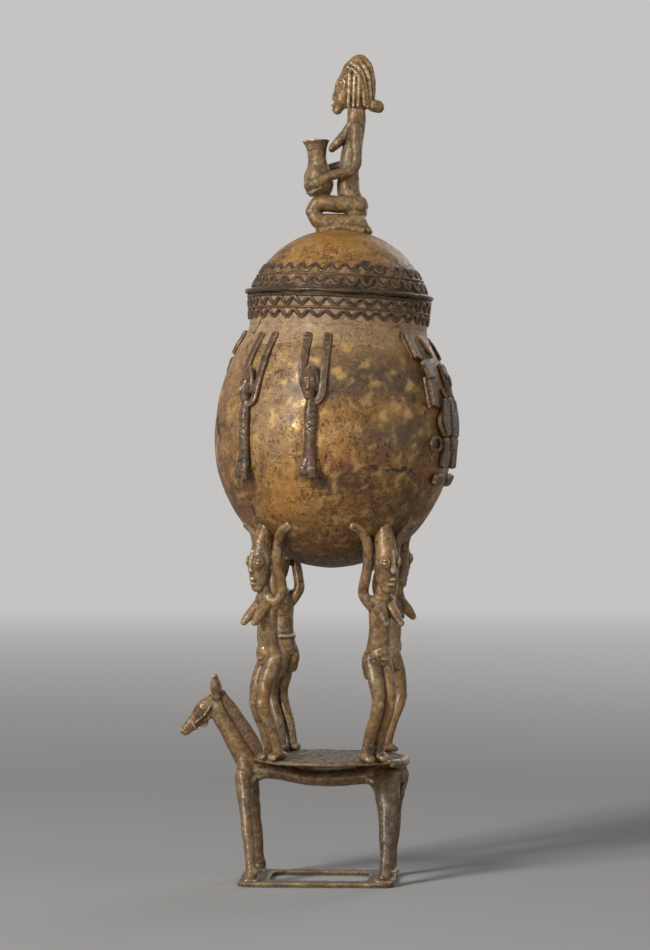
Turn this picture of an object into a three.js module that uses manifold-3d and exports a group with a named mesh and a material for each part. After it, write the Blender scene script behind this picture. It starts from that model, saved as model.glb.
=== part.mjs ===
// Cast bronze ointment pot: a lidded egg-shaped pot that four standing women carry on a round
// plate, on the back of a horse that stands on an open ground frame. A kneeling woman with a
// vessel is the handle of the lid. Millimetres, +Z up, the horse faces -X, and the origin is on
// the surface that the frame stands on, under the middle of the whole object.
import * as THREE from "three";
import { mergeVertices } from "three/addons/utils/BufferGeometryUtils.js";
import Module from "manifold-3d";

const wasm = await Module();
wasm.setup();

// Driving dimensions
const SEAT = 0.3; // gap between a piece and the piece that carries it
const ROUND_SIDES = 34; // facets round the pot, the collar, the lid and the plate

const FRAME_LENGTH = 77.5;
const FRAME_WIDTH = 52;
const FRAME_THICK = 2.6;
const FRAME_CORNER = 6;
const HEAD_END = 15; // solid ends of the frame, before and behind its opening
const TAIL_END = 13.5;
const LEFT_RAIL = 9;
const RIGHT_RAIL = 6;
const SLOT_CORNER = 7;

const BACK_HEIGHT = 60.6; // underside of the plate
const FORE_FOOT_INSET = 7.5; // feet from the ends and from the sides of the frame
const HIND_FOOT_INSET = 4.2;
const SIDE_FOOT_INSET = 5.6;
const STAGGER = 1.6; // how much nearer to the tail the right feet stand
const CHEST_REACH = 4.6; // front of the barrel, before the fore feet
const RUMP_REACH = 1.6; // back of the barrel, behind the hind feet
const FORE_HIP_SHIFT = -5; // tops of the legs, from the feet
const HIND_HIP_SHIFT = 0.8;
const HIP_SPREAD = 3.5;
const HIP_DROP = 7;
const LEG_BOW = 2.4; // how far the middle of a leg bends outwards
const FETLOCK = 2; // end of a leg's line over the frame
const MANE_THICK = 2.6;
const MANE_DEPTH = 7;

const CARYATID_RING = 35; // ankles from the middle of the plate
const PLATE_MARGIN = 3.2; // plate's edge beyond the ankles
const PLATE_THICK = 2;
const PLATE_BEVEL = 1.4;
const PLATE_X = 6.2;
const FIGURE_HEIGHT = 116;
const DRAWN_HEIGHT = 116; // height for which the points of the standing woman are given
const HEAD_REACH = 7; // where the heads meet the bowl, out from the ankles
const HEAD_SINK = 3; // how far the heads would reach into the bowl if they weren't cut to it
const STAND_LEAN = 0.8; // degrees that the women lean towards the horse's tail
const FIRST_BEARING = 39; // degrees from +X to the first of the four women

const POT_LEAN = 2.4; // degrees that the pot and its lid lean towards the horse's tail
const POT_X = 5.1;
const POT_RADIUS = 59.5;
const BELLY_HEIGHT = 64.5; // widest place, over the bottom
const UPPER_HEIGHT = 77.5; // half height of the ellipse over the widest place
const POT_WALL = 2.5;
const NECK_RADIUS = 41.6;
const NECK_WALL = 2.2;

const RELIEF_DROP = 2.6; // ends of the reliefs' raised arms, under the collar's foot

const COLLAR_WALL = 2.2;
const COLLAR_HEIGHT = 17.87; // mouth of the pot, over the collar's foot
const COLLAR_FLARE = 1.3; // how much wider the collar is at its mouth
const WAVES = 34;
const WAVE_SWING = 1.6;
const THREAD_HEIGHT = 1.1;
const THREAD_WIDTH = 1.2;
const COLLAR_LIP_DROP = 0.6; // threads under the collar's mouth
const COLLAR_UPPER_DROP = 3.8;
const COLLAR_MIDDLE_DROP = 6.8;
const COLLAR_LOWER_DROP = 9.8;

const LID_INSET = 0.6; // how far the dome stands in from the collar's edge
const DOME_SINK = 12; // how far the centre of the dome lies under its rim
const DOME_WALL = 2.4;
const LIP_RADIUS = 1.3;
const LID_LOWER_RISE = 6.2; // threads over the lid's rim
const LID_MIDDLE_RISE = 9.5;
const LID_UPPER_RISE = 12.8;
const FLANGE_DEPTH = 8;
const FLANGE_WALL = 1.7;
const FLANGE_CLEARANCE = 0.6;
const FLANGE_LEDGE = 5;

const VESSEL_X = -12.1;
const VESSEL_RISE = 16.8; // foot of the vessel, over the top of the dome
const VESSEL_HEIGHT = 27.6;
const VESSEL_LEAN = 6; // degrees that the vessel leans away from the woman
const VESSEL_MOUTH = 6.7;
const VESSEL_NECK = 4.6;
const VESSEL_BELLY = 7.2;
const VESSEL_FOOT = 5.4;
const VESSEL_WALL = 1.2;
const VESSEL_DISH = 4; // depth of the hollow in the vessel's mouth
const VESSEL_SIDES = 14;
const HOLD = 1.2; // middle of the arms, out from the widest place of the vessel

// Sizes and places that follow from the driving dimensions
const FOOT_FLOOR = FRAME_THICK + SEAT;
const FORE_X = -FRAME_LENGTH / 2 + FORE_FOOT_INSET;
const HIND_X = FRAME_LENGTH / 2 - HIND_FOOT_INSET;
const STANCE = FRAME_WIDTH / 2 - SIDE_FOOT_INSET;
const PLATE_RADIUS = CARYATID_RING + PLATE_MARGIN;
const PLATE_TOP = BACK_HEIGHT + PLATE_THICK;
const COLLAR_INNER = NECK_RADIUS + SEAT;
const COLLAR_FOOT = COLLAR_INNER + COLLAR_WALL;
const COLLAR_MOUTH = COLLAR_FOOT + COLLAR_FLARE;
const NECK_HEIGHT = shoulderHeight(COLLAR_FOOT) + COLLAR_HEIGHT; // mouth, over the bottom
const RELIEF_TOP = shoulderHeight(COLLAR_FOOT) - RELIEF_DROP;
const DOME_RADIUS = Math.hypot(COLLAR_MOUTH - LID_INSET, DOME_SINK);
const DOME_TOP = DOME_RADIUS - DOME_SINK;
const LID_PLANE = NECK_HEIGHT + SEAT;

const bronze = (color, roughness) =>
  new THREE.MeshStandardMaterial({ color, roughness, metalness: 0.75 });
const BARE_BRONZE = bronze(0x8a6434, 0.5);
const WORN_BRONZE = bronze(0x9a7440, 0.42);
const OCHRE_BRONZE = bronze(0xa87a34, 0.6);
const DARK_BRONZE = bronze(0x4a3524, 0.55);
const GREY_BRONZE = bronze(0x6e6450, 0.65);

const vec = (point) => new THREE.Vector3(...point);
const radians = THREE.MathUtils.degToRad;

// A closed surface becomes a solid once its shared corners are merged
function solid(geometry) {
  const bare = geometry.clone();
  bare.deleteAttribute("normal");
  bare.deleteAttribute("uv");
  const merged = mergeVertices(bare, 1e-4);
  const corners = merged.index.array;
  const triVerts = [];
  for (let i = 0; i < corners.length; i += 3) {
    const [a, b, c] = corners.slice(i, i + 3);
    if (a !== b && b !== c && a !== c) triVerts.push(a, b, c);
  }
  const vertProperties = merged.attributes.position.array;
  return new wasm.Manifold(
    new wasm.Mesh({ numProp: 3, vertProperties, triVerts: new Uint32Array(triVerts) }),
  );
}

function surface(body) {
  const mesh = body.getMesh();
  const geometry = new THREE.BufferGeometry();
  geometry.setAttribute("position", new THREE.BufferAttribute(mesh.vertProperties, 3));
  geometry.setIndex(new THREE.BufferAttribute(mesh.triVerts, 1));
  geometry.computeVertexNormals();
  return geometry;
}

const join = (bodies) => bodies.reduce((whole, body) => whole.add(body));

function named(name, material, shape) {
  const mesh = new THREE.Mesh(shape.isBufferGeometry ? shape : surface(shape), material);
  mesh.name = name;
  return mesh;
}

// A solid of revolution about Z from [radius, height] points, closed on the axis or on itself
function turned(points, sides = ROUND_SIDES) {
  const profile = points.map(([r, z]) => new THREE.Vector2(r, z));
  return new THREE.LatheGeometry(profile, sides).rotateX(Math.PI / 2);
}

// A limb is a capsule bent along a smooth path. Each point of the path has one radius, or a pair:
// the radius along the direction "across", and the radius square to it.
function limb(path, radii, { across = [0, 1, 0], sides = 5, steps = 4, ends = 1, grow = 0 } = {}) {
  const curve = new THREE.CatmullRomCurve3(path.map(vec), false, "centripetal");
  const pairs = radii.map((r) => (Array.isArray(r) ? r : [r, r]));
  const last = pairs.length - 1;
  const radiusAt = (t, k) => {
    const low = Math.min(Math.floor(t * last), last - 1);
    const share = THREE.MathUtils.smoothstep(t * last, low, low + 1);
    return THREE.MathUtils.lerp(pairs[low][k], pairs[low + 1][k], share) + grow;
  };
  const capsule = new THREE.CapsuleGeometry(1, 1, ends, sides, steps);
  const place = capsule.attributes.position;
  for (let i = 0; i < place.count; i += 1) {
    const along = place.getY(i) + 0.5;
    const t = THREE.MathUtils.clamp(along, 0, 1);
    const tangent = curve.getTangent(t);
    const side = vec(across).projectOnPlane(tangent).normalize();
    const deep = new THREE.Vector3().crossVectors(tangent, side);
    const [a, b] = [radiusAt(t, 0), radiusAt(t, 1)];
    const point = curve.getPoint(t);
    point.addScaledVector(tangent, (along - t) * Math.min(a, b));
    point.addScaledVector(side, place.getZ(i) * a);
    point.addScaledVector(deep, place.getX(i) * b);
    place.setXYZ(i, ...point);
  }
  return solid(capsule);
}

// The same limb on both sides of the plane y = 0
const pair = (path, radii, options) => [
  limb(path, radii, options),
  limb(path.map(([x, y, z]) => [x, -y, z]), radii, options),
];

// All that lies under a height
const below = (height) =>
  solid(new THREE.BoxGeometry(500, 500, 100).translate(0, 0, height - 50));

// Ground frame: a rounded plate with one long rounded opening
function roundedOutline(path, [x0, x1], [y0, y1], corner) {
  const quarter = Math.PI / 2;
  path.absarc(x1 - corner, y0 + corner, corner, -quarter, 0);
  path.absarc(x1 - corner, y1 - corner, corner, 0, quarter);
  path.absarc(x0 + corner, y1 - corner, corner, quarter, 2 * quarter);
  path.absarc(x0 + corner, y0 + corner, corner, 2 * quarter, 3 * quarter);
  return path;
}

function groundFrame() {
  const [x, y] = [FRAME_LENGTH / 2, FRAME_WIDTH / 2];
  const outline = roundedOutline(new THREE.Shape(), [-x, x], [-y, y], FRAME_CORNER);
  const slotX = [-x + HEAD_END, x - TAIL_END];
  const slotY = [-y + LEFT_RAIL, y - RIGHT_RAIL];
  outline.holes.push(roundedOutline(new THREE.Path(), slotX, slotY, SLOT_CORNER));
  const flat = { depth: FRAME_THICK, bevelEnabled: false, curveSegments: 3 };
  return named("ground_frame", GREY_BRONZE, new THREE.ExtrudeGeometry(outline, flat));
}

// Round plate, turned down a little at its edge
function plateShape(grow) {
  const profile = turned([
    [0, BACK_HEIGHT - grow],
    [PLATE_RADIUS - PLATE_BEVEL + grow, BACK_HEIGHT - grow],
    [PLATE_RADIUS + grow, BACK_HEIGHT + PLATE_THICK * 0.4],
    [PLATE_RADIUS - PLATE_BEVEL + grow, PLATE_TOP + grow],
    [0, PLATE_TOP + grow],
  ]);
  return profile.translate(PLATE_X, 0, 0);
}

// Horse. Its back hangs between the withers and the haunch, which both reach the plate.
const CHEST_X = FORE_X - CHEST_REACH;
const horsePoint = ([forward, y, up]) => [CHEST_X - forward, y, BACK_HEIGHT + up];

function horseTrunk(grow = 0) {
  const along = ([share, down]) => [
    THREE.MathUtils.lerp(CHEST_X, HIND_X + RUMP_REACH, share),
    0,
    BACK_HEIGHT - down,
  ];
  const barrel = [[0, 4.6], [0.18, 6], [0.48, 9.2], [0.75, 8.4], [0.97, 5.6], [1.07, 7]];
  const barrelRadii = [[5, 5], [5.2, 3.7], [5.6, 3.8], [5.6, 4], [6.6, 6.4], [4.6, 4.8]];
  const neck = [[-1, 0, -3], [4.5, 0, 7], [10.5, 0, 17.5], [15.4, 0, 26.5]];
  const head = [[15.6, 0, 29.6], [20.6, 0, 25.6], [26, 0, 19.4], [30.8, 0, 14.4]];
  const jaw = [[18, 0, 22.6], [23.4, 0, 18.2]];
  const ear = [[15, 2.4, 31.5], [15.4, 3.4, 36.5], [16, 3.4, 42]];
  const saddle = [[0.12, 4.2], [0.34, 5], [0.6, 5.4], [0.86, 4.2]];
  const eye = [[21.4, 2.6, 26.6], [21.8, 3.7, 26.8]];
  const tail = [[1.08, 3], [1.1, 9], [1.08, 18]];
  const neckRadii = [[5, 5.4], [4.2, 4.9], [3.8, 4.6], [3.6, 4.4]];
  const headRadii = [[3.2, 3.8], [3.6, 4.6], [2.7, 3.5], [2, 2.3]];
  return join([
    limb(barrel.map(along), barrelRadii, { grow, sides: 8, steps: 8 }),
    limb(neck.map(horsePoint), neckRadii, { grow, sides: 8, steps: 5 }),
    limb(head.map(horsePoint), headRadii, { grow, sides: 8 }),
    limb(jaw.map(horsePoint), [[2.4, 2], [1.6, 1.4]], { grow, steps: 1 }),
    ...pair(ear.map(horsePoint), [[1.6, 2.6], [1.4, 2], 0.7], { grow, steps: 3 }),
    limb(saddle.map(along), [[1.6, 3.4], [1.6, 4.2], [1.6, 4.6], [1.6, 3.4]], { grow, steps: 3 }),
    ...pair(eye.map(horsePoint), [1.1, 0.9], { grow, steps: 1 }),
    limb(tail.map(along), [[2.6, 2], [2, 1.6], [1.4, 1.2]], { grow }),
  ]);
}

function leg(trunk, hip, foot, radii) {
  const shares = [0, 0.2, 0.5, 0.84, 1];
  const bow = LEG_BOW * Math.sign(foot[1]);
  const path = shares.map((share) => {
    const point = vec(hip).lerp(vec(foot), share);
    return [point.x, point.y + bow * Math.sin(Math.PI * share), point.z];
  });
  const hoof = [foot[0] - 1.2, foot[1], foot[2] + 1];
  const whole = join([
    limb(path, radii, { sides: 7, steps: 6 }),
    limb([foot, hoof], [3, 2.8], { steps: 1 }),
  ]);
  return whole.subtract(trunk).subtract(below(FOOT_FLOOR));
}

function horseLegs() {
  const trunk = horseTrunk(SEAT);
  const pairs = [
    ["foreleg", FORE_X, FORE_HIP_SHIFT, BARE_BRONZE, [[4, 4.4], [3.6, 4], 3.3, 2.8, 2.7]],
    ["hindleg", HIND_X, HIND_HIP_SHIFT, DARK_BRONZE, [[5, 7], [4.4, 6.4], [3.4, 4], 2.8, 2.7]],
  ];
  return pairs.flatMap(([name, x, hipShift, material, radii]) =>
    [-1, 1].map((side) => {
      const shift = side > 0 ? STAGGER : -STAGGER / 2;
      const foot = [x + shift / 2, side * STANCE, FOOT_FLOOR + FETLOCK];
      const hip = [x + hipShift + shift, side * HIP_SPREAD, BACK_HEIGHT - HIP_DROP];
      const label = `horse_${side < 0 ? "left" : "right"}_${name}`;
      return named(label, material, leg(trunk, hip, foot, radii));
    }),
  );
}

// The mane is a flat crest that stands on the back of the neck
function mane(room) {
  const crest = [[12, 0, 33], [4.4, 0, 23], [-2.6, 0, 11], [-5.4, 0, 3]];
  const half = MANE_THICK / 2;
  const depth = [MANE_DEPTH * 0.3, MANE_DEPTH * 0.62, MANE_DEPTH * 0.74, MANE_DEPTH * 0.5];
  const slab = limb(crest.map(horsePoint), depth.map((d) => [half, d]), { steps: 6 });
  return slab.subtract(horseTrunk(SEAT)).subtract(room);
}

function horse() {
  const room = solid(plateShape(SEAT));
  return [
    named("horse_trunk", BARE_BRONZE, horseTrunk().subtract(room)),
    named("horse_mane", DARK_BRONZE, mane(room)),
    ...horseLegs(),
  ];
}

// Pot, in its own frame: the origin is the bottom of the bowl, and +Z is the pot's axis
const bowlReach = (z) => (z < BELLY_HEIGHT ? BELLY_HEIGHT : UPPER_HEIGHT);
const bowlRadius = (z) => POT_RADIUS * Math.sqrt(1 - ((z - BELLY_HEIGHT) / bowlReach(z)) ** 2);

// Heights at which the bowl has a radius: on its underside and on its shoulder
function undersideHeight(radius) {
  return BELLY_HEIGHT * (1 - Math.sqrt(1 - (radius / POT_RADIUS) ** 2));
}

function shoulderHeight(radius) {
  return BELLY_HEIGHT + UPPER_HEIGHT * Math.sqrt(1 - (radius / POT_RADIUS) ** 2);
}

// Points of the bowl's outside from the axis to a height on the shoulder, grown outwards
function bowlLine(top, grow, steps) {
  const low = -Math.PI / 2;
  const high = Math.asin((top - BELLY_HEIGHT) / UPPER_HEIGHT);
  return Array.from({ length: steps + 1 }, (_, i) => {
    const angle = THREE.MathUtils.lerp(low, high, i / steps);
    const radius = i === 0 ? 0 : (POT_RADIUS + grow) * Math.cos(angle);
    const reach = (angle < 0 ? BELLY_HEIGHT : UPPER_HEIGHT) + grow;
    return [radius, BELLY_HEIGHT + reach * Math.sin(angle)];
  });
}

const BOWL_STEPS = 13;

function potBowl() {
  const inner = NECK_RADIUS - NECK_WALL;
  const outside = bowlLine(shoulderHeight(NECK_RADIUS), 0, BOWL_STEPS);
  const inside = bowlLine(shoulderHeight(inner + POT_WALL), -POT_WALL, BOWL_STEPS - 3);
  const mouth = [[NECK_RADIUS, NECK_HEIGHT], [inner, NECK_HEIGHT]];
  return turned([...outside, ...mouth, ...inside.reverse()]);
}

// What the bowl fills, grown by the seat gap: whatever sits on it is cut to this
const bowlRoom = () =>
  turned([...bowlLine(shoulderHeight(NECK_RADIUS), SEAT, BOWL_STEPS), [0, NECK_HEIGHT]]);

function collarRadius(z) {
  const foot = shoulderHeight(COLLAR_FOOT);
  return THREE.MathUtils.lerp(COLLAR_FOOT, COLLAR_MOUTH, (z - foot) / (NECK_HEIGHT - foot));
}

function potCollar() {
  const rise = 2 * SEAT;
  const heel = [COLLAR_INNER, shoulderHeight(COLLAR_INNER) + rise];
  return turned([
    heel,
    [COLLAR_FOOT, shoulderHeight(COLLAR_FOOT) + rise],
    [COLLAR_MOUTH, NECK_HEIGHT],
    [COLLAR_INNER, NECK_HEIGHT],
    heel,
  ]);
}

// A wax thread laid round a surface of revolution, in waves or level. Its section is a triangle
// that stands on the surface, and its rings close on themselves.
function thread(name, radiusAt, height, swing = 0) {
  const steps = swing > 0 ? WAVES * 2 : ROUND_SIDES;
  const at = (turn) => {
    const z = height + swing * Math.cos(WAVES * turn);
    const radius = radiusAt(z) + SEAT;
    return new THREE.Vector3(radius * Math.cos(turn), radius * Math.sin(turn), z);
  };
  const nudge = 1e-3;
  const positions = [];
  const index = [];
  for (let i = 0; i < steps; i += 1) {
    const turn = (2 * Math.PI * i) / steps;
    const base = at(turn);
    const slope = (radiusAt(base.z + nudge) - radiusAt(base.z - nudge)) / (2 * nudge);
    const out = new THREE.Vector3(Math.cos(turn), Math.sin(turn), -slope).normalize();
    const tangent = at(turn + nudge).sub(at(turn - nudge)).normalize();
    const side = new THREE.Vector3().crossVectors(out, tangent).multiplyScalar(THREAD_WIDTH / 2);
    positions.push(...base.clone().sub(side));
    positions.push(...base.clone().addScaledVector(out, THREAD_HEIGHT));
    positions.push(...base.clone().add(side));
    for (let k = 0; k < 3; k += 1) {
      const [a, b] = [3 * i + k, 3 * i + ((k + 1) % 3)];
      const [c, d] = [a, b].map((corner) => (corner + 3) % (3 * steps));
      index.push(a, c, b, b, c, d);
    }
  }
  const geometry = new THREE.BufferGeometry();
  geometry.setAttribute("position", new THREE.Float32BufferAttribute(positions, 3));
  geometry.setIndex(index);
  geometry.computeVertexNormals();
  return named(name, DARK_BRONZE, geometry);
}

// Reliefs on the pot. A point of a relief is [across, height, lift]: millimetres round the pot from
// the relief's middle line, height over the bottom, and distance out from the bowl.
function onBowl(bearing, [across, height, lift]) {
  const turn = radians(bearing) + across / POT_RADIUS;
  const slope = ((height - BELLY_HEIGHT) * POT_RADIUS ** 2) / bowlReach(height) ** 2;
  const out = new THREE.Vector2(bowlRadius(height), slope).normalize().multiplyScalar(lift);
  const radius = bowlRadius(height) + out.x;
  return [radius * Math.cos(turn), radius * Math.sin(turn), height + out.y];
}

function relief(bearing, strokes) {
  const turn = radians(bearing);
  const across = [-Math.sin(turn), Math.cos(turn), 0];
  const bodies = strokes.map(([path, radii, steps]) =>
    limb(path.map((point) => onBowl(bearing, point)), radii, { across, steps, sides: 5 }),
  );
  return join(bodies).subtract(solid(bowlRoom()));
}

const bothSides = ([path, radii, steps]) =>
  [-1, 1].map((side) => [path.map(([across, ...rest]) => [side * across, ...rest]), radii, steps]);

// Small figure: two long raised arms, a capped head, a trunk that tapers to jutting feet
function smallRelief(bearing) {
  const left = [
    [[-3.2, 86, 0.8], [-6.2, 93, 0.8], [-7, 103, 0.6], [-7.4, RELIEF_TOP, 0.5]],
    [[1.6, 1.5], [1.8, 1.6], [1.9, 1.5], [2, 1.3]],
    3,
  ];
  const right = [
    [[0.6, 81.6, 1.2], [4, 84.4, 1], [4.8, 92, 0.8], [4.9, 104, 0.6], [5, RELIEF_TOP, 0.5]],
    [[1.4, 1.4], [1.8, 1.6], [1.8, 1.5], [1.9, 1.5], [2, 1.3]],
    4,
  ];
  const head = [[[-1.6, 86.8, 2.1], [-1.7, 92, 3.2], [-1.7, 98.5, 2]], [[3, 2.4], [3.6, 3], [3.2, 2.6]], 2];
  const trunk = [
    [[-0.8, 84.5, 1.3], [-0.4, 78, 1.8], [0, 69, 1.6], [0, 59, 1.4], [0, 50, 2.6]],
    [[2.6, 2], [3.1, 2.6], [2.9, 2.2], [3.1, 2.4], [3.5, 2.8]],
    4,
  ];
  const feet = [[[0, 52, 2], [0, 49, 5.4]], [[3.6, 2.8], [3.8, 2]], 1];
  return relief(bearing, [left, right, head, trunk, feet]);
}

// Crouching figure, larger and angular: bent arms raised, knees spread, feet turned out
function crouchingRelief(bearing) {
  const arm = [
    [[4, 84, 1.2], [17, 79, 1.2], [19.5, 90, 1], [23, 102, 0.8], [28, RELIEF_TOP, 0.4]],
    [[4, 2.4], [5, 2.6], [5.4, 2.4], [4.6, 2.2], [5.4, 1.6]],
    6,
  ];
  const leg = [
    [[3, 70, 1], [14, 68, 1.2], [20, 60, 1.6], [13.6, 52, 1], [15, 43.5, 1.6]],
    [[4, 2.2], [4, 2.4], [3.4, 2.8], [3.8, 2], [3.6, 1.8]],
    5,
  ];
  const trunk = [[[0, 63, 1.2], [0, 74, 1.6], [0, 86, 1.4]], [[5.4, 2.6], [6.4, 3], [5, 2.4]], 3];
  const head = [[[0, 88, 1.8], [0, 95, 2.2], [0, 102, 1]], [[3.6, 2.4], [5, 2.6], [4.2, 2]], 3];
  return relief(bearing, [...bothSides(arm), ...bothSides(leg), trunk, head]);
}

const SMALL_BEARINGS = [-133, -98, 47, 82];
const CROUCHING_BEARINGS = [-10, 135];

function pot() {
  const group = new THREE.Group();
  const onCollar = (name, drop, swing) =>
    thread(name, collarRadius, NECK_HEIGHT - drop, swing);
  group.add(
    named("pot_bowl", OCHRE_BRONZE, potBowl()),
    named("pot_collar", WORN_BRONZE, potCollar()),
    onCollar("collar_lip_thread", COLLAR_LIP_DROP),
    onCollar("collar_upper_wave", COLLAR_UPPER_DROP, WAVE_SWING),
    onCollar("collar_middle_thread", COLLAR_MIDDLE_DROP),
    onCollar("collar_lower_wave", COLLAR_LOWER_DROP, WAVE_SWING),
  );
  SMALL_BEARINGS.forEach((bearing, i) => {
    group.add(named(`small_relief_${i + 1}`, WORN_BRONZE, smallRelief(bearing)));
  });
  CROUCHING_BEARINGS.forEach((bearing, i) => {
    group.add(named(`crouching_relief_${i + 1}`, DARK_BRONZE, crouchingRelief(bearing)));
  });
  return group;
}

// Standing woman. A point is [out, side, up]: out from her ankles, away from the plate's middle,
// and up from the plate for a figure of DRAWN_HEIGHT.
function caryatid(potRoom, bearing) {
  const ball = { steps: 1 };
  const foot = [[-3, 3.8, 2.4], [0.5, 4.1, 2.8], [3.4, 4.6, 1.8]];
  const legLine = [[-0.6, 3.8, 4], [2.4, 3.7, 14], [7.4, 4, 28], [5.8, 4, 40], [2, 3.8, 51]];
  const trunk = [[1.4, 0, 49], [3.8, 0, 58], [4.6, 0, 67], [5, 0, 76], [6.8, 0, 83], [8.4, 0, 92]];
  const trunkRadii = [[7.6, 6], [5.8, 4.9], [5.4, 4.7], [6.8, 4.6], [3.4, 3.4], 3];
  const breast = [[7, 2.8, 77], [11.5, 3.8, 72.5], [15.5, 4.6, 68.5]];
  const head = [[11, 0, 85.5], [9.4, 0, 90.5], [8.6, 0, 98], [7.4, 0, 106], [5.8, 0, 116]];
  const headRadii = [[3, 2.8], [4.6, 5.4], [5.6, 6.8], [5, 6], [3.8, 4.4]];
  const upperArm = [[4.5, 4, 75.4], [1.8, 8, 82], [4.6, 8.2, 96]];
  const hand = [[5.2, 9, 107.4], [5.2, 12.6, 113.2], [5.4, 18, 116.4]];
  const eye = [[11.6, 3.9, 98], [13.9, 4.9, 98]];
  const nose = [[14.6, 0, 102], [15.6, 0, 97], [16, 0, 92.6]];
  const lips = [[13.6, -1.6, 88.4], [14.8, 0, 88.2], [13.6, 1.6, 88.4]];
  const figure = join([
    ...pair(foot, [[2.3, 2.2], [2.6, 2.6], [2.4, 1.8]], { steps: 2 }),
    ...pair(legLine, [2.8, 3.3, 3.5, 4.2, 4.6], { steps: 5 }),
    limb(trunk, trunkRadii, { sides: 6, steps: 5 }),
    ...pair(breast, [3, 2.8, 1.9], { steps: 2 }),
    limb(head, headRadii, { sides: 7, steps: 4 }),
    ...pair([...upperArm, ...hand], [2.8, 2.6, 2.5, 2.5, 2.5, [2.8, 2]], { steps: 6 }),
    ...pair(eye, [2.3, 1.9], ball),
    limb(nose, [0.9, 1.1, 1.5], { sides: 4, steps: 2 }),
    limb(lips, [1.2, 1.5, 1.2], { sides: 5, steps: 2, across: [0, 0, 1] }),
  ]);
  const lean = new THREE.Matrix4().makeShear(0, 0, 0, 0, Math.tan(radians(STAND_LEAN)), 0);
  const standing = surface(figure.subtract(below(SEAT)));
  standing.translate(CARYATID_RING, 0, 0);
  standing.scale(1, 1, FIGURE_HEIGHT / DRAWN_HEIGHT);
  standing.rotateZ(radians(bearing));
  standing.applyMatrix4(lean);
  standing.translate(PLATE_X, 0, PLATE_TOP);
  return solid(standing).subtract(potRoom);
}

// Lid, in its own frame: the origin is the middle of its rim, and +Z is the pot's axis
const domeRadius = (z) => Math.sqrt(DOME_RADIUS ** 2 - (z + DOME_SINK) ** 2);

// Points of the dome from a height to the axis, grown outwards
function domeLine(low, grow, steps) {
  const radius = DOME_RADIUS + grow;
  const start = Math.asin((low + DOME_SINK) / radius);
  return Array.from({ length: steps + 1 }, (_, i) => {
    const angle = THREE.MathUtils.lerp(start, Math.PI / 2, i / steps);
    return [i === steps ? 0 : radius * Math.cos(angle), radius * Math.sin(angle) - DOME_SINK];
  });
}

const DOME_STEPS = 7;

const lidDome = () =>
  turned([...domeLine(0, -DOME_WALL, DOME_STEPS - 2).reverse(), ...domeLine(0, 0, DOME_STEPS)]);

// The ring inside the rim that keeps the lid on the pot, with a ledge that reaches the dome
function lidFlange() {
  const outer = NECK_RADIUS - NECK_WALL - FLANGE_CLEARANCE;
  const inner = outer - FLANGE_WALL;
  const gap = DOME_WALL + 2 * SEAT;
  return turned([
    [inner, -FLANGE_DEPTH],
    [outer, -FLANGE_DEPTH],
    [outer, SEAT],
    [domeRadius(SEAT) - gap, SEAT],
    [domeRadius(FLANGE_LEDGE) - gap, FLANGE_LEDGE],
    [inner, FLANGE_LEDGE],
    [inner, -FLANGE_DEPTH],
  ]);
}

function lidLip() {
  const radius = domeRadius(LIP_RADIUS) + 2 * SEAT + LIP_RADIUS;
  const lip = new THREE.TorusGeometry(radius, LIP_RADIUS, 5, ROUND_SIDES);
  return lip.translate(0, 0, LIP_RADIUS);
}

// Waisted vessel with a dished mouth, or without the dish and grown by the seat gap
function vessel(grow = 0) {
  const [height, neck] = [VESSEL_HEIGHT, VESSEL_NECK];
  const outside = [
    [0, -grow],
    [VESSEL_FOOT + grow, -grow],
    [VESSEL_BELLY * 0.97 + grow, height * 0.17],
    [VESSEL_BELLY + grow, height * 0.33],
    [VESSEL_BELLY * 0.86 + grow, height * 0.5],
    [neck + grow, height * 0.74],
    [neck * 1.06 + grow, height * 0.87],
    [VESSEL_MOUTH + grow, height + grow],
  ];
  const dish = [
    [VESSEL_MOUTH - VESSEL_WALL, height],
    [neck - VESSEL_WALL, height - VESSEL_DISH],
    [0, height - VESSEL_DISH],
  ];
  const top = grow > 0 ? [[0, height + grow]] : dish;
  const upright = turned([...outside, ...top], VESSEL_SIDES);
  return upright.rotateY(-radians(VESSEL_LEAN)).translate(VESSEL_X, 0, DOME_TOP + VESSEL_RISE);
}

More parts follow.
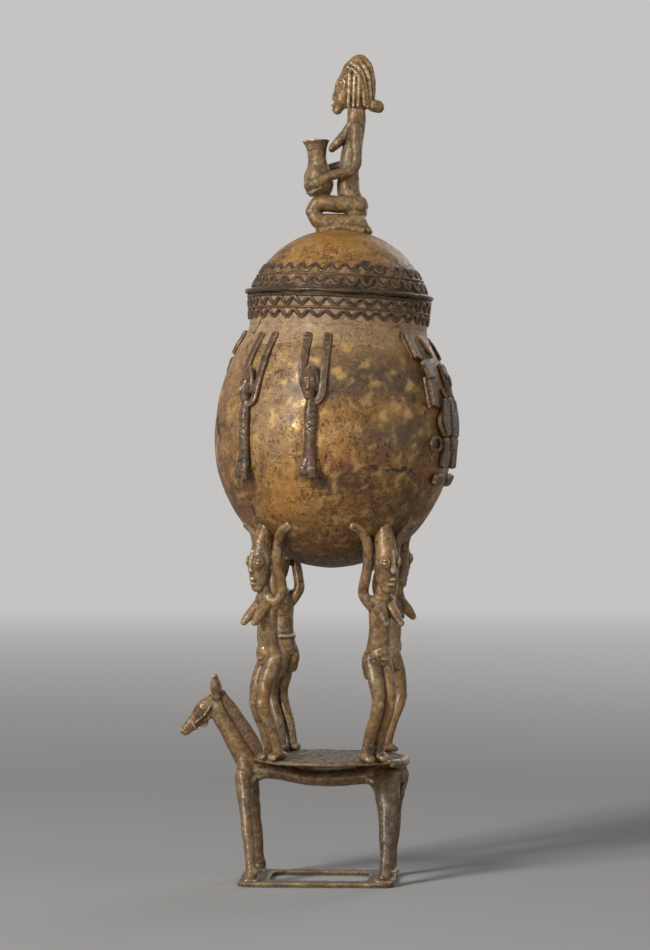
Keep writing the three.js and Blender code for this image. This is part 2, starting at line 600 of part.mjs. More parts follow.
// Kneeling woman. A point is [x, side, up], up from the top of the dome.
function kneelingWoman() {
  const ball = { steps: 1 };
  const reach = VESSEL_BELLY + HOLD;
  const thigh = [[8, 3.6, 13], [-3, 4.6, 13.2], [-12, 5, 12.8], [-15, 5, 8.4]];
  const shin = [[-15, 5, 8.4], [-11.6, 5, 4.2], [-1, 4.6, 3.9], [8, 4.2, 4.4]];
  const toes = [[4, 4, 8.4], [8.4, 3.9, 4], [12.8, 3.8, 0]];
  const hips = [[6.4, 0, 9], [2.6, 0, 20], [2.4, 0, 31]];
  const chest = [[3.4, 0, 42], [4.2, 0, 50], [4.4, 0, 57], [3, 0, 66]];
  const trunk = [...hips, ...chest];
  const breast = [[2, 2.4, 49], [-2.6, 3, 44.6], [-7.2, 3.4, 40]];
  const nearUpperArm = [[4.6, -5, 49], [5, -6.6, 40], [5, -7.4, 30.4]];
  const nearForearm = [[-6, -reach, 26], [-14.2, -reach, 22], [-18.4, -5, 20.6]];
  const farUpperArm = [[4.6, 5, 49], [4.6, 6.8, 42], [3, 7.6, 34]];
  const farForearm = [[-6.5, reach, 30], [-14.4, reach, 26.4], [-18.6, 5, 25]];
  const head = [[-5.4, 0, 60.4], [-2.6, 0, 65], [0, 0, 71.5], [2.6, 0, 78.4], [4.6, 0, 83.6]];
  const crest = [[-1, 0, 81], [3.6, 0, 85.8], [9.6, 0, 82.4], [12.6, 0, 74], [13.4, 0, 65.6]];
  const sideBraid = [[1.4, 4.6, 79], [1.6, 5.6, 71], [1.4, 4.8, 62]];
  const backBraid = [[4.6, 2.8, 83], [9.4, 4, 75], [9.4, 3.2, 64]];
  const hair = [[3.4, 0, 79], [8, 0, 76], [9.4, 0, 69], [8.8, 0, 63.4]];
  const knot = [[13.8, 0, 63], [15.6, 0, 62.6]];
  const eye = [[-4.6, 3.2, 72.2], [-6, 4, 72]];
  const nose = [[-5.8, 0, 75], [-7.6, 0, 69.4], [-8.2, 0, 66.4]];
  const lips = [[-7, -1.3, 63.2], [-8.2, 0, 63], [-7, 1.3, 63.2]];
  const armRadii = [2.6, 2.7, 2.4, 2.2, 2, 1.6];
  const trunkRadii = [[7, 5.6], [5.8, 5.4], [5, 5], [5.4, 5.2], [6, 4.8], [3.9, 4.4], [3.6, 4]];
  const figure = join([
    ...pair(thigh, [4.4, 3.6, 3.5, 3.4], { steps: 5 }),
    ...pair(shin, [3.4, 3.5, 3.5, 3.8], { steps: 4 }),
    ...pair(toes, [4, 4, [3.4, 2.2]], { steps: 2 }),
    limb(trunk, trunkRadii, { sides: 6, steps: 7 }),
    limb([...nearUpperArm, ...nearForearm], armRadii, { steps: 7 }),
    limb([...farUpperArm, ...farForearm], armRadii, { steps: 7 }),
    ...pair(breast, [2.6, 2.6, 1.9], { steps: 2 }),
    limb(head, [[3, 2.4], [4.4, 5], [5.4, 7], [5, 6.6], [3.4, 4.2]], { sides: 7, steps: 4 }),
    limb(crest, [[1.8, 1.6], [2.4, 2], [2.6, 2.2], [2.4, 2], [2, 1.8]], { sides: 4, steps: 5 }),
    ...pair(sideBraid, [1.3, 1.4, 1], { sides: 4, steps: 2 }),
    ...pair(backBraid, [1.6, 1.7, 1.3], { sides: 4, steps: 2 }),
    limb(hair, [[4, 3], [4.2, 3.4], [3.8, 3], [2.8, 2]], { sides: 6, steps: 3 }),
    limb(knot, [3, 2.7], { ...ball, ends: 2 }),
    ...pair(eye, [1.6, 1.3], ball),
    limb(nose, [0.8, 1, 1.3], { sides: 4, steps: 2 }),
    limb(lips, [1, 1.3, 1], { sides: 5, steps: 2, across: [0, 0, 1] }),
  ]);
  const onDome = surface(figure).translate(0, 0, DOME_TOP);
  const dome = solid(turned([[0, -DOME_SINK], ...domeLine(0, SEAT, DOME_STEPS)]));
  return solid(onDome).subtract(dome).subtract(solid(vessel(SEAT)));
}

function lid() {
  const onDome = (name, rise, swing) => thread(name, domeRadius, rise, swing);
  const group = new THREE.Group();
  group.add(
    named("lid_dome", OCHRE_BRONZE, lidDome()),
    named("lid_flange", GREY_BRONZE, lidFlange()),
    named("lid_lip", DARK_BRONZE, lidLip()),
    onDome("lid_lower_wave", LID_LOWER_RISE, WAVE_SWING),
    onDome("lid_middle_thread", LID_MIDDLE_RISE),
    onDome("lid_upper_wave", LID_UPPER_RISE, WAVE_SWING),
    named("kneeling_woman", WORN_BRONZE, kneelingWoman()),
    named("offering_vessel", WORN_BRONZE, vessel()),
  );
  group.position.z = LID_PLANE;
  return group;
}

const headSeat = undersideHeight(CARYATID_RING + HEAD_REACH);
const potGroup = pot();
potGroup.add(lid());
potGroup.position.set(POT_X, 0, PLATE_TOP + FIGURE_HEIGHT - HEAD_SINK - headSeat);
potGroup.rotation.y = radians(POT_LEAN);
potGroup.updateMatrixWorld(true);
const potRoom = solid(bowlRoom().applyMatrix4(potGroup.matrixWorld));

const object = new THREE.Group();
object.add(groundFrame(), ...horse(), named("support_plate", GREY_BRONZE, plateShape(0)), potGroup);
for (const [i, corner] of ["back_right", "back_left", "front_left", "front_right"].entries()) {
  const figure = caryatid(potRoom, FIRST_BEARING + 90 * i);
  object.add(named(`caryatid_${corner}`, BARE_BRONZE, figure));
}

export default object;
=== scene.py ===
"""Looks of a cast bronze ointment pot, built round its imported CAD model.

The pot stands on four women on a round plate, the plate lies on the back of a horse, and the horse
stands on an open ground frame. A kneeling woman with a vessel is the handle of the lid. Every CAD
node is replaced by a finer piece of the same shape and place. Shapes are modelled in millimetres,
as rolls and balls of wax that are joined into one skin, and turned into metres at the end.
"""

from __future__ import annotations

import logging
import math
from dataclasses import dataclass
from enum import Enum
from typing import Callable, ClassVar, Iterable, Sequence

import bmesh
import bpy
import numpy as np
from mathutils import Matrix, Vector, noise

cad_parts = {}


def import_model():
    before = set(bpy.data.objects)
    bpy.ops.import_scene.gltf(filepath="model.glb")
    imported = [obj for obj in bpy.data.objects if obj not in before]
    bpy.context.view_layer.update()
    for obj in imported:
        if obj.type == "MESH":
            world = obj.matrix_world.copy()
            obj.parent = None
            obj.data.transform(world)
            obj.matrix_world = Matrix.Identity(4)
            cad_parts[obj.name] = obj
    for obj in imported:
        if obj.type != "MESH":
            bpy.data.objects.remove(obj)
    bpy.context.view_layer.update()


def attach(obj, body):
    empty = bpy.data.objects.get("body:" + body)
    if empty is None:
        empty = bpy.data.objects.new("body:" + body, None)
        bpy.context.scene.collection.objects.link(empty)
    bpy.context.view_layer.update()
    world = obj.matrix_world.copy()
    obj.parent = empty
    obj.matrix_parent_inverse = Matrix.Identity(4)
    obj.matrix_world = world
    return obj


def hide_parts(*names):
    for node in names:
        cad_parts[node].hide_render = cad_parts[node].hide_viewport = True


log = logging.getLogger("ointment_pot")

MM = 0.001
TURN = 2 * math.pi
RELIEF = "relief"
SMALL_STEP = 1e-3
DOUBLES = 1e-4
ALL_ROUND = 900.0
Point = Sequence[float]
Radius = float | tuple[float, float]
Colour = tuple[float, float, float]


# Shader nodes


class Wire:
    """A shader value that takes part in sums written in Python."""

    def __init__(self, bench: "Bench", socket: bpy.types.NodeSocket) -> None:
        """Keeps the socket and the bench that adds the nodes."""
        self.bench = bench
        self.socket = socket

    def _sum(self, operation: str, *terms: "Wire | float", clamp: bool = False) -> "Wire":
        """Adds one Math node.

        Args:
            operation: The Math node's operation.
            terms: Its values, in order.
            clamp: Whether the result is kept between 0 and 1.

        Returns:
            The node's result.
        """
        settings = {"operation": operation, "use_clamp": clamp}
        return self.bench.wire("ShaderNodeMath", "Value", settings, dict(enumerate(terms)))

    def __add__(self, other: "Wire | float") -> "Wire":
        """Sum of the two."""
        return self._sum("ADD", self, other)

    def __radd__(self, other: float) -> "Wire":
        """Sum, with the number first."""
        return self._sum("ADD", other, self)

    def __sub__(self, other: "Wire | float") -> "Wire":
        """Difference of the two."""
        return self._sum("SUBTRACT", self, other)

    def __rsub__(self, other: float) -> "Wire":
        """Difference, with the number first."""
        return self._sum("SUBTRACT", other, self)

    def __mul__(self, other: "Wire | float") -> "Wire":
        """Product of the two."""
        return self._sum("MULTIPLY", self, other)

    def __rmul__(self, other: float) -> "Wire":
        """Product, with the number first."""
        return self._sum("MULTIPLY", other, self)

    def __neg__(self) -> "Wire":
        """The value with its sign turned."""
        return self._sum("MULTIPLY", self, -1.0)

    def clamped(self) -> "Wire":
        """The value, kept between 0 and 1."""
        return self._sum("ADD", self, 0.0, clamp=True)

    def over(self, level: float, softness: float) -> "Wire":
        """A mask that rises from 0 at the level to 1 at the level plus the softness."""
        return self._sum("MULTIPLY", self - level, 1 / softness, clamp=True)

    def largest(self, other: "Wire | float") -> "Wire":
        """The larger of the two."""
        return self._sum("MAXIMUM", self, other)


class Bench:
    """The node tree of one material or of the world."""

    def __init__(self, tree: bpy.types.NodeTree) -> None:
        """Clears the tree."""
        self.tree = tree
        tree.nodes.clear()

    def node(
        self,
        kind: str,
        settings: dict[str, object] | None = None,
        inputs: dict[str | int, object] | None = None,
    ) -> bpy.types.Node:
        """Adds a node.

        Args:
            kind: The node's type.
            settings: Its properties, set first.
            inputs: Values or wires by socket name or number.

        Returns:
            The new node.
        """
        made = self.tree.nodes.new(kind)
        for key, value in (settings or {}).items():
            setattr(made, key, value)
        for key, value in (inputs or {}).items():
            if isinstance(value, Wire):
                self.tree.links.new(value.socket, made.inputs[key])
            else:
                made.inputs[key].default_value = value
        return made

    def wire(
        self,
        kind: str,
        output: str | int,
        settings: dict[str, object] | None = None,
        inputs: dict[str | int, object] | None = None,
    ) -> Wire:
        """Adds a node and gives one of its outputs."""
        return Wire(self, self.node(kind, settings, inputs).outputs[output])

    def vector(self, operation: str, *terms: Wire | Point, output: str = "Vector") -> Wire:
        """Adds one Vector Math node and gives its result."""
        settings = {"operation": operation}
        return self.wire("ShaderNodeVectorMath", output, settings, dict(enumerate(terms)))

    def mixed(self, share: Wire | float, first: Wire | Colour, second: Wire | Colour) -> Wire:
        """Mixes two colours.

        Args:
            share: How much of the second colour shows.
            first: The colour at 0.
            second: The colour at 1.

        Returns:
            The mixed colour.
        """
        colours = [c if isinstance(c, Wire) else (*c, 1.0) for c in (first, second)]
        inputs = {0: share, 6: colours[0], 7: colours[1]}
        return self.wire("ShaderNodeMix", 2, {"data_type": "RGBA"}, inputs)

    def grain(self, place: Wire, size: float, detail: float = 3.0, swirl: float = 0.0) -> Wire:
        """Noise of one size.

        Args:
            place: Where it is read.
            size: Size of its cells, in millimetres.
            detail: Octaves, of which the finer ones stay strong.
            swirl: How much it is distorted.

        Returns:
            The noise, from 0 to 1 about 0.5.
        """
        inputs = {
            "Vector": place,
            "Scale": 1 / (size * MM),
            "Detail": detail,
            "Roughness": 0.66,
            "Distortion": swirl,
        }
        return self.wire("ShaderNodeTexNoise", "Fac", None, inputs)

    def cracks(self, place: Wire, size: float, stretch: Point = (1, 1, 1)) -> Wire:
        """Distance to the edges of a net of cells.

        Args:
            place: Where it is read.
            size: Size of the cells, in millimetres.
            stretch: Scale of the place along each axis.

        Returns:
            The distance, 0 on an edge.
        """
        inputs = {"Vector": place, "Scale": 2 / (size * MM)}
        bent = self.wire("ShaderNodeTexNoise", "Color", None, inputs)
        moved = self.vector("MULTIPLY_ADD", bent, (size * MM,) * 3, place)
        moved = self.vector("MULTIPLY", moved, stretch)
        settings = {"feature": "DISTANCE_TO_EDGE"}
        inputs = {"Vector": moved, "Scale": 1 / (size * MM)}
        return self.wire("ShaderNodeTexVoronoi", "Distance", settings, inputs)


def tint(red: int, green: int, blue: int) -> Colour:
    """A linear colour from the 0 to 255 values that a screen shows."""
    shares = [c / 255 for c in (red, green, blue)]
    return tuple(c / 12.92 if c <= 0.04045 else ((c + 0.055) / 1.055) ** 2.4 for c in shares)


# Finishes


@dataclass(frozen=True)
class Blot:
    """A large patch of another colour. Its place and half sizes are in millimetres."""

    place: Point
    size: Point
    colour: Colour
    strength: float = 0.7
    ragged: float = 2.2
    streak: ClassVar[Point] = (1, 1, 2.4)
    edge_size: ClassVar[float] = 19.0
    fray_size: ClassVar[float] = 3.0
    fray_share: ClassVar[float] = 0.7

    def mask(self, bench: Bench, place: Wire) -> Wire:
        """How strongly the patch shows.

        Args:
            bench: The material's nodes.
            place: Where it is read.

        Returns:
            The strength, which ends in a ragged edge.
        """
        away = bench.vector("SUBTRACT", place, tuple(c * MM for c in self.place))
        away = bench.vector("DIVIDE", away, tuple(c * MM for c in self.size))
        away = bench.vector("LENGTH", away, output="Value")
        streaked = bench.vector("MULTIPLY", place, self.streak)
        edge = (bench.grain(streaked, self.edge_size, detail=13.0, swirl=0.3) - 0.5) * self.ragged
        fray = (bench.grain(streaked, self.fray_size, detail=8.0, swirl=0.3) - 0.5) * self.ragged
        inside = 1.1 - away + edge + fray * self.fray_share
        return inside.over(level=-0.1, softness=0.9) * self.strength


def band(height: float, half: float, colour: Colour, strength: float, ragged: float) -> Blot:
    """A blot that is a level band all round, at a height and half as high as it says."""
    return Blot((0, 0, height), (ALL_ROUND, ALL_ROUND, half), colour, strength, ragged)


@dataclass(frozen=True)
class Spread:
    """Patches of noise that cover a part of the surface.

    The scale multiplies one of the finish's own sizes. Where the noise is over the level, the
    patch shows.
    """

    scale: float
    detail: float
    swirl: float
    level: float
    softness: float

    def mask(self, bench: Bench, place: Wire, size: float, level: float | None = None) -> Wire:
        """Where the patches lie.

        Args:
            bench: The material's nodes.
            place: Where they are read.
            size: The finish's size, in millimetres.
            level: A level of the finish's own.

        Returns:
            The mask.
        """
        cells = bench.grain(place, size * self.scale, self.detail, self.swirl)
        return cells.over(self.level if level is None else level, self.softness)


CLOUDS = Spread(scale=1.0, detail=7.0, swirl=0.5, level=0.46, softness=0.1)
STAINS = Spread(scale=1.0, detail=9.0, swirl=0.9, level=0.52, softness=0.08)
RUSTS = Spread(scale=0.6, detail=8.0, swirl=0.4, level=0.54, softness=0.09)
SPECKS = Spread(scale=1.0, detail=6.0, swirl=0.0, level=0.51, softness=0.09)
PITTED = Spread(scale=0.6, detail=6.0, swirl=0.3, level=0.42, softness=0.1)
GLINTS = Spread(scale=0.8, detail=3.0, swirl=1.0, level=0.56, softness=0.07)
SCABS = Spread(scale=1.5, detail=10.0, swirl=0.8, level=0.62, softness=0.02)

# How far each kind of patch covers the colours under it
COVER = {"clouds": 0.9, "rusts": 0.6, "stains": 0.75, "cracks": 0.7, "scabs": 0.9, "wear": 0.8}
SCRATCH_COVER = 0.2
# How far the fine mottle darkens, lightens, raises and smooths the skin
MOTTLE_DARKENS = 3.6
MOTTLE_LIGHTENS = 2.4
MOTTLE_RAISES = 0.6
MOTTLE_SMOOTHS = 0.3
# How far each kind raises the skin, makes it rougher and lets the metal show
RAISES = {"specks": -0.4, "scabs": -1.0, "cracks": -0.8, "glints": 0.25}
ROUGHENS = {"specks": 0.2, "scabs": 0.2, "hollow": 0.25, "wear": -0.12}
BARES = {"wear": 0.4, "glints": 0.1, "hollow": -0.3, "specks": -0.15}


def weighed(start: Wire | float, mask: dict[str, Wire], shares: dict[str, float]) -> Wire:
    """A value plus a share of each of some masks.

    Args:
        start: The value.
        mask: The masks by name.
        shares: How much of each is added.

    Returns:
        The sum.
    """
    for kind, share in shares.items():
        start = start + mask[kind] * share
    return start


@dataclass(frozen=True)
class Patina:
    """One finish of the cast bronze: colours, wear on the ridges, and grime with painted shade in the
    hollows.

    Sizes are in millimetres. The clouds are large patches, the stains smaller ones, and the scabs
    are places where the skin of the casting broke away.
    """

    slot: str
    ground: Colour
    cloud: Colour
    stain: Colour
    rust: Colour
    grime_and_shade: Colour
    worn: Colour
    metal: float = 0.3
    rough: float = 0.4
    cloud_size: float = 22.0
    stain_size: float = 11.0
    stain_level: float = STAINS.level
    mottle: float = 1.0
    speck_size: float = 1.3
    speck_share: float = 0.6
    glint_share: float = 0.45
    scab_level: float = SCABS.level
    depth: float = 0.2
    wear: float = 0.1
    wax: float = 0.12
    wax_roughness: float = 0.25
    # Share of the grime colour in the hollows: partly dark patina, partly painted shade
    hollow_dirt_and_shade: float = 0.9
    blots: tuple[Blot, ...] = ()

    def _masks(self, bench: Bench, place: Wire) -> dict[str, Wire]:
        """Where each kind of patch lies.

        Args:
            bench: The material's nodes.
            place: Where they are read.

        Returns:
            A mask for each kind.
        """
        patches = bench.grain(place, self.stain_size * 2.2)
        net = bench.cracks(place, self.stain_size * 0.5)
        lines = bench.cracks(place, self.stain_size * 0.9, (1.6, 0.5, 0.7))
        pitted = 0.4 + 0.6 * PITTED.mask(bench, place, self.cloud_size)
        cracked = 1 - net.over(level=0.008, softness=0.03)
        scratched = 1 - lines.over(level=0.004, softness=0.012)
        return {
            "clouds": CLOUDS.mask(bench, place, self.cloud_size),
            "stains": STAINS.mask(bench, place, self.stain_size, self.stain_level),
            "rusts": RUSTS.mask(bench, place, self.stain_size),
            "specks": SPECKS.mask(bench, place, self.speck_size) * pitted,
            "glints": GLINTS.mask(bench, place, self.speck_size),
            "scabs": SCABS.mask(bench, place, self.stain_size, self.scab_level),
            "cracks": cracked * patches.over(level=0.5, softness=0.06),
            "scratches": scratched * patches.over(level=0.4, softness=0.08),
        }

    def material(self) -> bpy.types.Material:
        """Builds the material.

        Returns:
            The material, named after its slot.
        """
        made = bpy.data.materials.new(f"{self.slot}_patina")
        made.use_nodes = True
        bench = Bench(made.node_tree)
        place = bench.wire("ShaderNodeTexCoord", "Object")
        relief = bench.wire("ShaderNodeAttribute", "Fac", {"attribute_name": RELIEF})
        ridge = relief.over(level=self.wear * 0.3, softness=self.wear)
        hollow = (-relief).over(level=self.wear * 0.2, softness=self.wear * 1.2)
        mottle = (bench.grain(place, self.speck_size * 2.0, detail=8.0) - 0.5) * self.mottle
        mask = self._masks(bench, place)
        mask["hollow"] = hollow
        mask["wear"] = ridge * (1 - mask["specks"] * 0.7)

        colour = self.ground
        for kind, over in (("clouds", self.cloud), ("rusts", self.rust), ("stains", self.stain)):
            colour = bench.mixed(mask[kind] * COVER[kind], colour, over)
        for blot in self.blots:
            colour = bench.mixed(blot.mask(bench, place), colour, blot.colour)
        colour = bench.mixed((-mottle * MOTTLE_DARKENS).clamped(), colour, self.grime_and_shade)
        colour = bench.mixed((mottle * MOTTLE_LIGHTENS).clamped(), colour, self.worn)
        grimy = {"specks": self.speck_share, "cracks": COVER["cracks"], "scabs": COVER["scabs"]}
        # The hollows take the grime colour: partly dark patina, partly painted shade
        for kind, cover in {**grimy, "hollow": self.hollow_dirt_and_shade}.items():
            colour = bench.mixed(mask[kind] * cover, colour, self.grime_and_shade)
        scratches = mask["scratches"] * SCRATCH_COVER
        pale = (mask["glints"] * self.glint_share).largest(scratches)
        colour = bench.mixed(pale, colour, self.worn)
        colour = bench.mixed(mask["wear"] * COVER["wear"], colour, self.worn)

        height = weighed(mottle * MOTTLE_RAISES, mask, RAISES)
        inputs = {"Strength": 1.0, "Distance": self.depth * MM, "Height": height}
        bump = bench.wire("ShaderNodeBump", "Normal", None, inputs)
        rough = weighed(self.rough, mask, ROUGHENS) - mottle * MOTTLE_SMOOTHS
        metal = weighed(self.metal, mask, BARES)
        inputs = {
            "Base Color": colour,
            "Metallic": metal.clamped(),
            "Roughness": rough.clamped(),
            "Coat Weight": self.wax,
            "Coat Roughness": self.wax_roughness,
            "Normal": bump,
        }
        shade = bench.node("ShaderNodeBsdfPrincipled", None, inputs)
        surface = Wire(bench, shade.outputs["BSDF"])
        bench.node("ShaderNodeOutputMaterial", None, {"Surface": surface})
        return made


DARK_COLOURS = {
    "ground": tint(76, 48, 31),
    "cloud": tint(60, 37, 25),
    "stain": tint(90, 66, 48),
    "rust": tint(84, 40, 22),
    "grime_and_shade": tint(20, 13, 8),
}
BARE_LOOK = {
    "ground": tint(154, 113, 59),
    "cloud": tint(104, 70, 36),
    "stain": tint(158, 131, 90),
    "rust": tint(132, 78, 36),
    "grime_and_shade": tint(29, 18, 10),
    "worn": tint(212, 187, 140),
    "metal": 0.2,
    "rough": 0.42,
    "wax": 0.32,
    "depth": 0.28,
    "cloud_size": 30.0,
    "stain_size": 15.0,
    "mottle": 0.75,
    "glint_share": 0.35,
    "scab_level": 0.69,
    "blots": (
        band(24, 48, tint(92, 69, 44), 0.6, 1.0),
        band(356, 40, tint(108, 84, 56), 0.45, 1.4),
        Blot((37, -14, 28), (12, 30, 36), tint(62, 47, 36), 0.85, 0.8),
    ),
}
SHOULDER = band(268, 25, tint(158, 127, 90), 0.75, 1.2)
RIM = band(298, 11, tint(120, 97, 69), 0.75, 1.0)
CROWN = Blot((8, -34, 318), (34, 34, 14), tint(190, 138, 52), 0.5)
PALE = Blot((-22, -50, 232), (30, 34, 30), tint(168, 138, 98), 0.55)
GOLD = Blot((6, -58, 222), (22, 20, 9), tint(184, 132, 58), 0.5)
LEFT_EDGE = Blot((-56, -12, 218), (17, 44, 44), tint(112, 66, 27), 0.75, 1.6)
UPPER_RIGHT = Blot((27, -50, 250), (44, 40, 15), tint(74, 57, 40), 0.9, 0.95)
MIDDLE_RIGHT = Blot((40, -40, 222), (28, 34, 11), tint(82, 69, 52), 0.85, 0.95)
CRUST = Blot((22, -50, 199), (24, 22, 9), tint(64, 35, 17), 0.85, 3.2)
LOWER_LEFT = Blot((-44, -32, 190), (26, 34, 28), tint(84, 49, 22), 0.7, 3.2)
LOWER_RIGHT = Blot((46, -34, 182), (26, 30, 26), tint(84, 52, 26), 0.75, 1.3)
# Painted shade: a dark band round the lower bowl, where the light falls off underneath
UNDER_SHADE = band(152, 32, tint(74, 47, 25), 0.85, 1.1)
POT_BLOTS = (
    UNDER_SHADE,
    *(LEFT_EDGE, SHOULDER, RIM, CROWN, PALE, GOLD),
    *(UPPER_RIGHT, MIDDLE_RIGHT, CRUST, LOWER_LEFT, LOWER_RIGHT),
)


class Finish(Enum):
    """The finishes. Each fills one of the record's material slots."""

    BARE = Patina("bare_bronze", **BARE_LOOK)
    HIND_LEG = Patina("dark_bronze", **BARE_LOOK)
    VESSEL = Patina("worn_bronze", **BARE_LOOK)
    WORN = Patina(
        "worn_bronze",
        ground=tint(188, 154, 112),
        cloud=tint(158, 122, 82),
        stain=tint(160, 130, 98),
        rust=tint(140, 88, 52),
        grime_and_shade=tint(54, 34, 20),
        worn=tint(212, 186, 144),
        metal=0.1,
        rough=0.5,
        mottle=0.5,
        speck_size=0.8,
        hollow_dirt_and_shade=0.35,
    )
    RELIEF = Patina(
        "worn_bronze",
        ground=tint(100, 64, 38),
        cloud=tint(78, 47, 28),
        stain=tint(100, 78, 54),
        rust=tint(96, 48, 27),
        grime_and_shade=tint(26, 16, 9),
        worn=tint(190, 158, 112),
        metal=0.2,
        rough=0.38,
        wax=0.35,
        mottle=0.6,
        speck_size=0.8,
    )
    OCHRE = Patina(
        "ochre_bronze",
        ground=tint(170, 118, 47),
        cloud=tint(138, 90, 37),
        stain=tint(122, 92, 56),
        rust=tint(150, 80, 32),
        grime_and_shade=tint(46, 27, 13),
        worn=tint(204, 164, 100),
        metal=0.05,
        rough=0.5,
        cloud_size=40.0,
        stain_size=26.0,
        stain_level=0.56,
        mottle=0.5,
        speck_share=0.9,
        glint_share=0.15,
        scab_level=0.6,
        wear=0.06,
        blots=POT_BLOTS,
    )
    DARK = Patina("dark_bronze", **DARK_COLOURS, worn=tint(138, 108, 76), metal=0.1, rough=0.55)
    # Dark roll at the lid's rim and the collar's lip thread: partly their dark patina, partly painted
    # shade of the gap between lid and collar
    LIP = Patina(
        "dark_bronze",
        ground=tint(50, 35, 25),
        cloud=tint(38, 26, 19),
        stain=tint(62, 46, 34),
        rust=tint(64, 34, 20),
        grime_and_shade=tint(14, 10, 7),
        worn=tint(112, 88, 62),
        metal=0.2,
        rough=0.42,
        wear=0.16,
    )
    DARK_RELIEF = Patina(
        "dark_bronze",
        **DARK_COLOURS,
        worn=tint(160, 128, 86),
        metal=0.1,
        rough=0.52,
        wear=0.07,
        wax=0.05,
    )
    MANE = Patina(
        "dark_bronze",
        ground=tint(126, 94, 60),
        cloud=tint(98, 68, 40),
        stain=tint(110, 87, 62),
        rust=tint(112, 64, 34),
        grime_and_shade=tint(34, 22, 14),
        worn=tint(182, 148, 100),
        metal=0.15,
        rough=0.5,
        mottle=0.6,
        speck_size=0.8,
    )
    GREY = Patina(
        "grey_bronze",
        ground=tint(88, 80, 58),
        cloud=tint(72, 64, 46),
        stain=tint(98, 84, 60),
        rust=tint(134, 92, 44),
        grime_and_shade=tint(28, 22, 15),
        worn=tint(160, 134, 94),
        metal=0.1,
        rough=0.52,
        speck_size=1.4,
        mottle=0.6,
        wear=0.07,
        hollow_dirt_and_shade=0.3,
    )


# Wax


class Centreline:
    """A smooth line through points, the same as the CAD model's limbs follow."""

    LEAST_GAP = 1e-4

    def __init__(self, points: Iterable[Point]) -> None:
        """Keeps the points."""
        self.points = [Vector(p) for p in points]

    def at(self, share: float) -> Vector:
        """The point at a share of the line, which spends an equal share between each two points.

        Args:
            share: From 0 at the start to 1 at the end.

        Returns:
            The point.
        """
        points = self.points
        last = len(points) - 1
        along = min(max(share, 0.0), 1.0) * last
        low = min(int(along), last - 1)
        weight = along - low
        first, second = points[low], points[low + 1]
        before = points[low - 1] if low > 0 else 2 * points[0] - points[1]
        after = points[low + 2] if low + 2 <= last else 2 * points[last] - points[last - 1]
        stretches = ((before, first), (first, second), (second, after))
        gaps = [math.sqrt((q - p).length) for p, q in stretches]
        gaps = [gap if gap > self.LEAST_GAP else 1.0 for gap in gaps]
        slope_in = (first - before) / gaps[0] - (second - before) / (gaps[0] + gaps[1])
        slope_in = (slope_in + (second - first) / gaps[1]) * gaps[1]
        slope_out = (second - first) / gaps[1] - (after - first) / (gaps[1] + gaps[2])
        slope_out = (slope_out + (after - second) / gaps[2]) * gaps[1]
        square = -3 * first + 3 * second - 2 * slope_in - slope_out
        cube = 2 * first - 2 * second + slope_in + slope_out
        return first + slope_in * weight + square * weight**2 + cube * weight**3

    def tangent(self, share: float) -> Vector:
        """The direction of the line at a share of it."""
        ahead = self.at(min(share + SMALL_STEP, 1.0))
        return (ahead - self.at(max(share - SMALL_STEP, 0.0))).normalized()

    def length(self) -> float:
        """The length of the straight stretches between the points."""
        return sum((q - p).length for p, q in zip(self.points, self.points[1:]))


def mirrored(points: Iterable[Point]) -> list[Point]:
    """The points' mirror image across the plane y = 0."""
    return [(x, -y, z) for x, y, z in points]


def as_pair(radius: Radius) -> tuple[float, float]:
    """A radius as two: along "across", and square to it."""
    return radius if isinstance(radius, tuple) else (radius, radius)


def framed(first: Vector, second: Vector, third: Vector, origin: Vector) -> Matrix:
    """The matrix with three axes and an origin as its columns."""
    columns = (first, second, third, origin)
    return Matrix([[column[row] for column in columns] for row in range(3)] + [[0, 0, 0, 1]])


def as_mesh(bm: bmesh.types.BMesh, name: str) -> bpy.types.Mesh:
    """Turns a bmesh, which is used up, into a mesh.

    Args:
        bm: The bmesh.
        name: The mesh's name.

    Returns:
        The mesh.
    """
    mesh = bpy.data.meshes.new(name)
    bm.to_mesh(mesh)
    bm.free()
    return mesh


def in_scene(name: str, data: bpy.types.ID) -> bpy.types.Object:
    """A new object that holds a mesh, a lamp or a camera.

    Args:
        name: Its name.
        data: What it holds.

    Returns:
        The object, linked to the scene.
    """
    made = bpy.data.objects.new(name, data)
    bpy.context.scene.collection.objects.link(made)
    return made


def extruded(
    bm: bmesh.types.BMesh, edges: list[bmesh.types.BMEdge]
) -> tuple[list[bmesh.types.BMVert], list[bmesh.types.BMEdge]]:
    """Extrudes a ring of edges where it is.

    Args:
        bm: Where the ring is.
        edges: The ring's edges.

    Returns:
        The points and the edges of the new ring.
    """
    made = bmesh.ops.extrude_edge_only(bm, edges=edges)["geom"]
    ring = [g for g in made if isinstance(g, bmesh.types.BMVert)]
    inside = set(ring)
    ahead = [g for g in made if isinstance(g, bmesh.types.BMEdge) and set(g.verts) <= inside]
    return ring, ahead


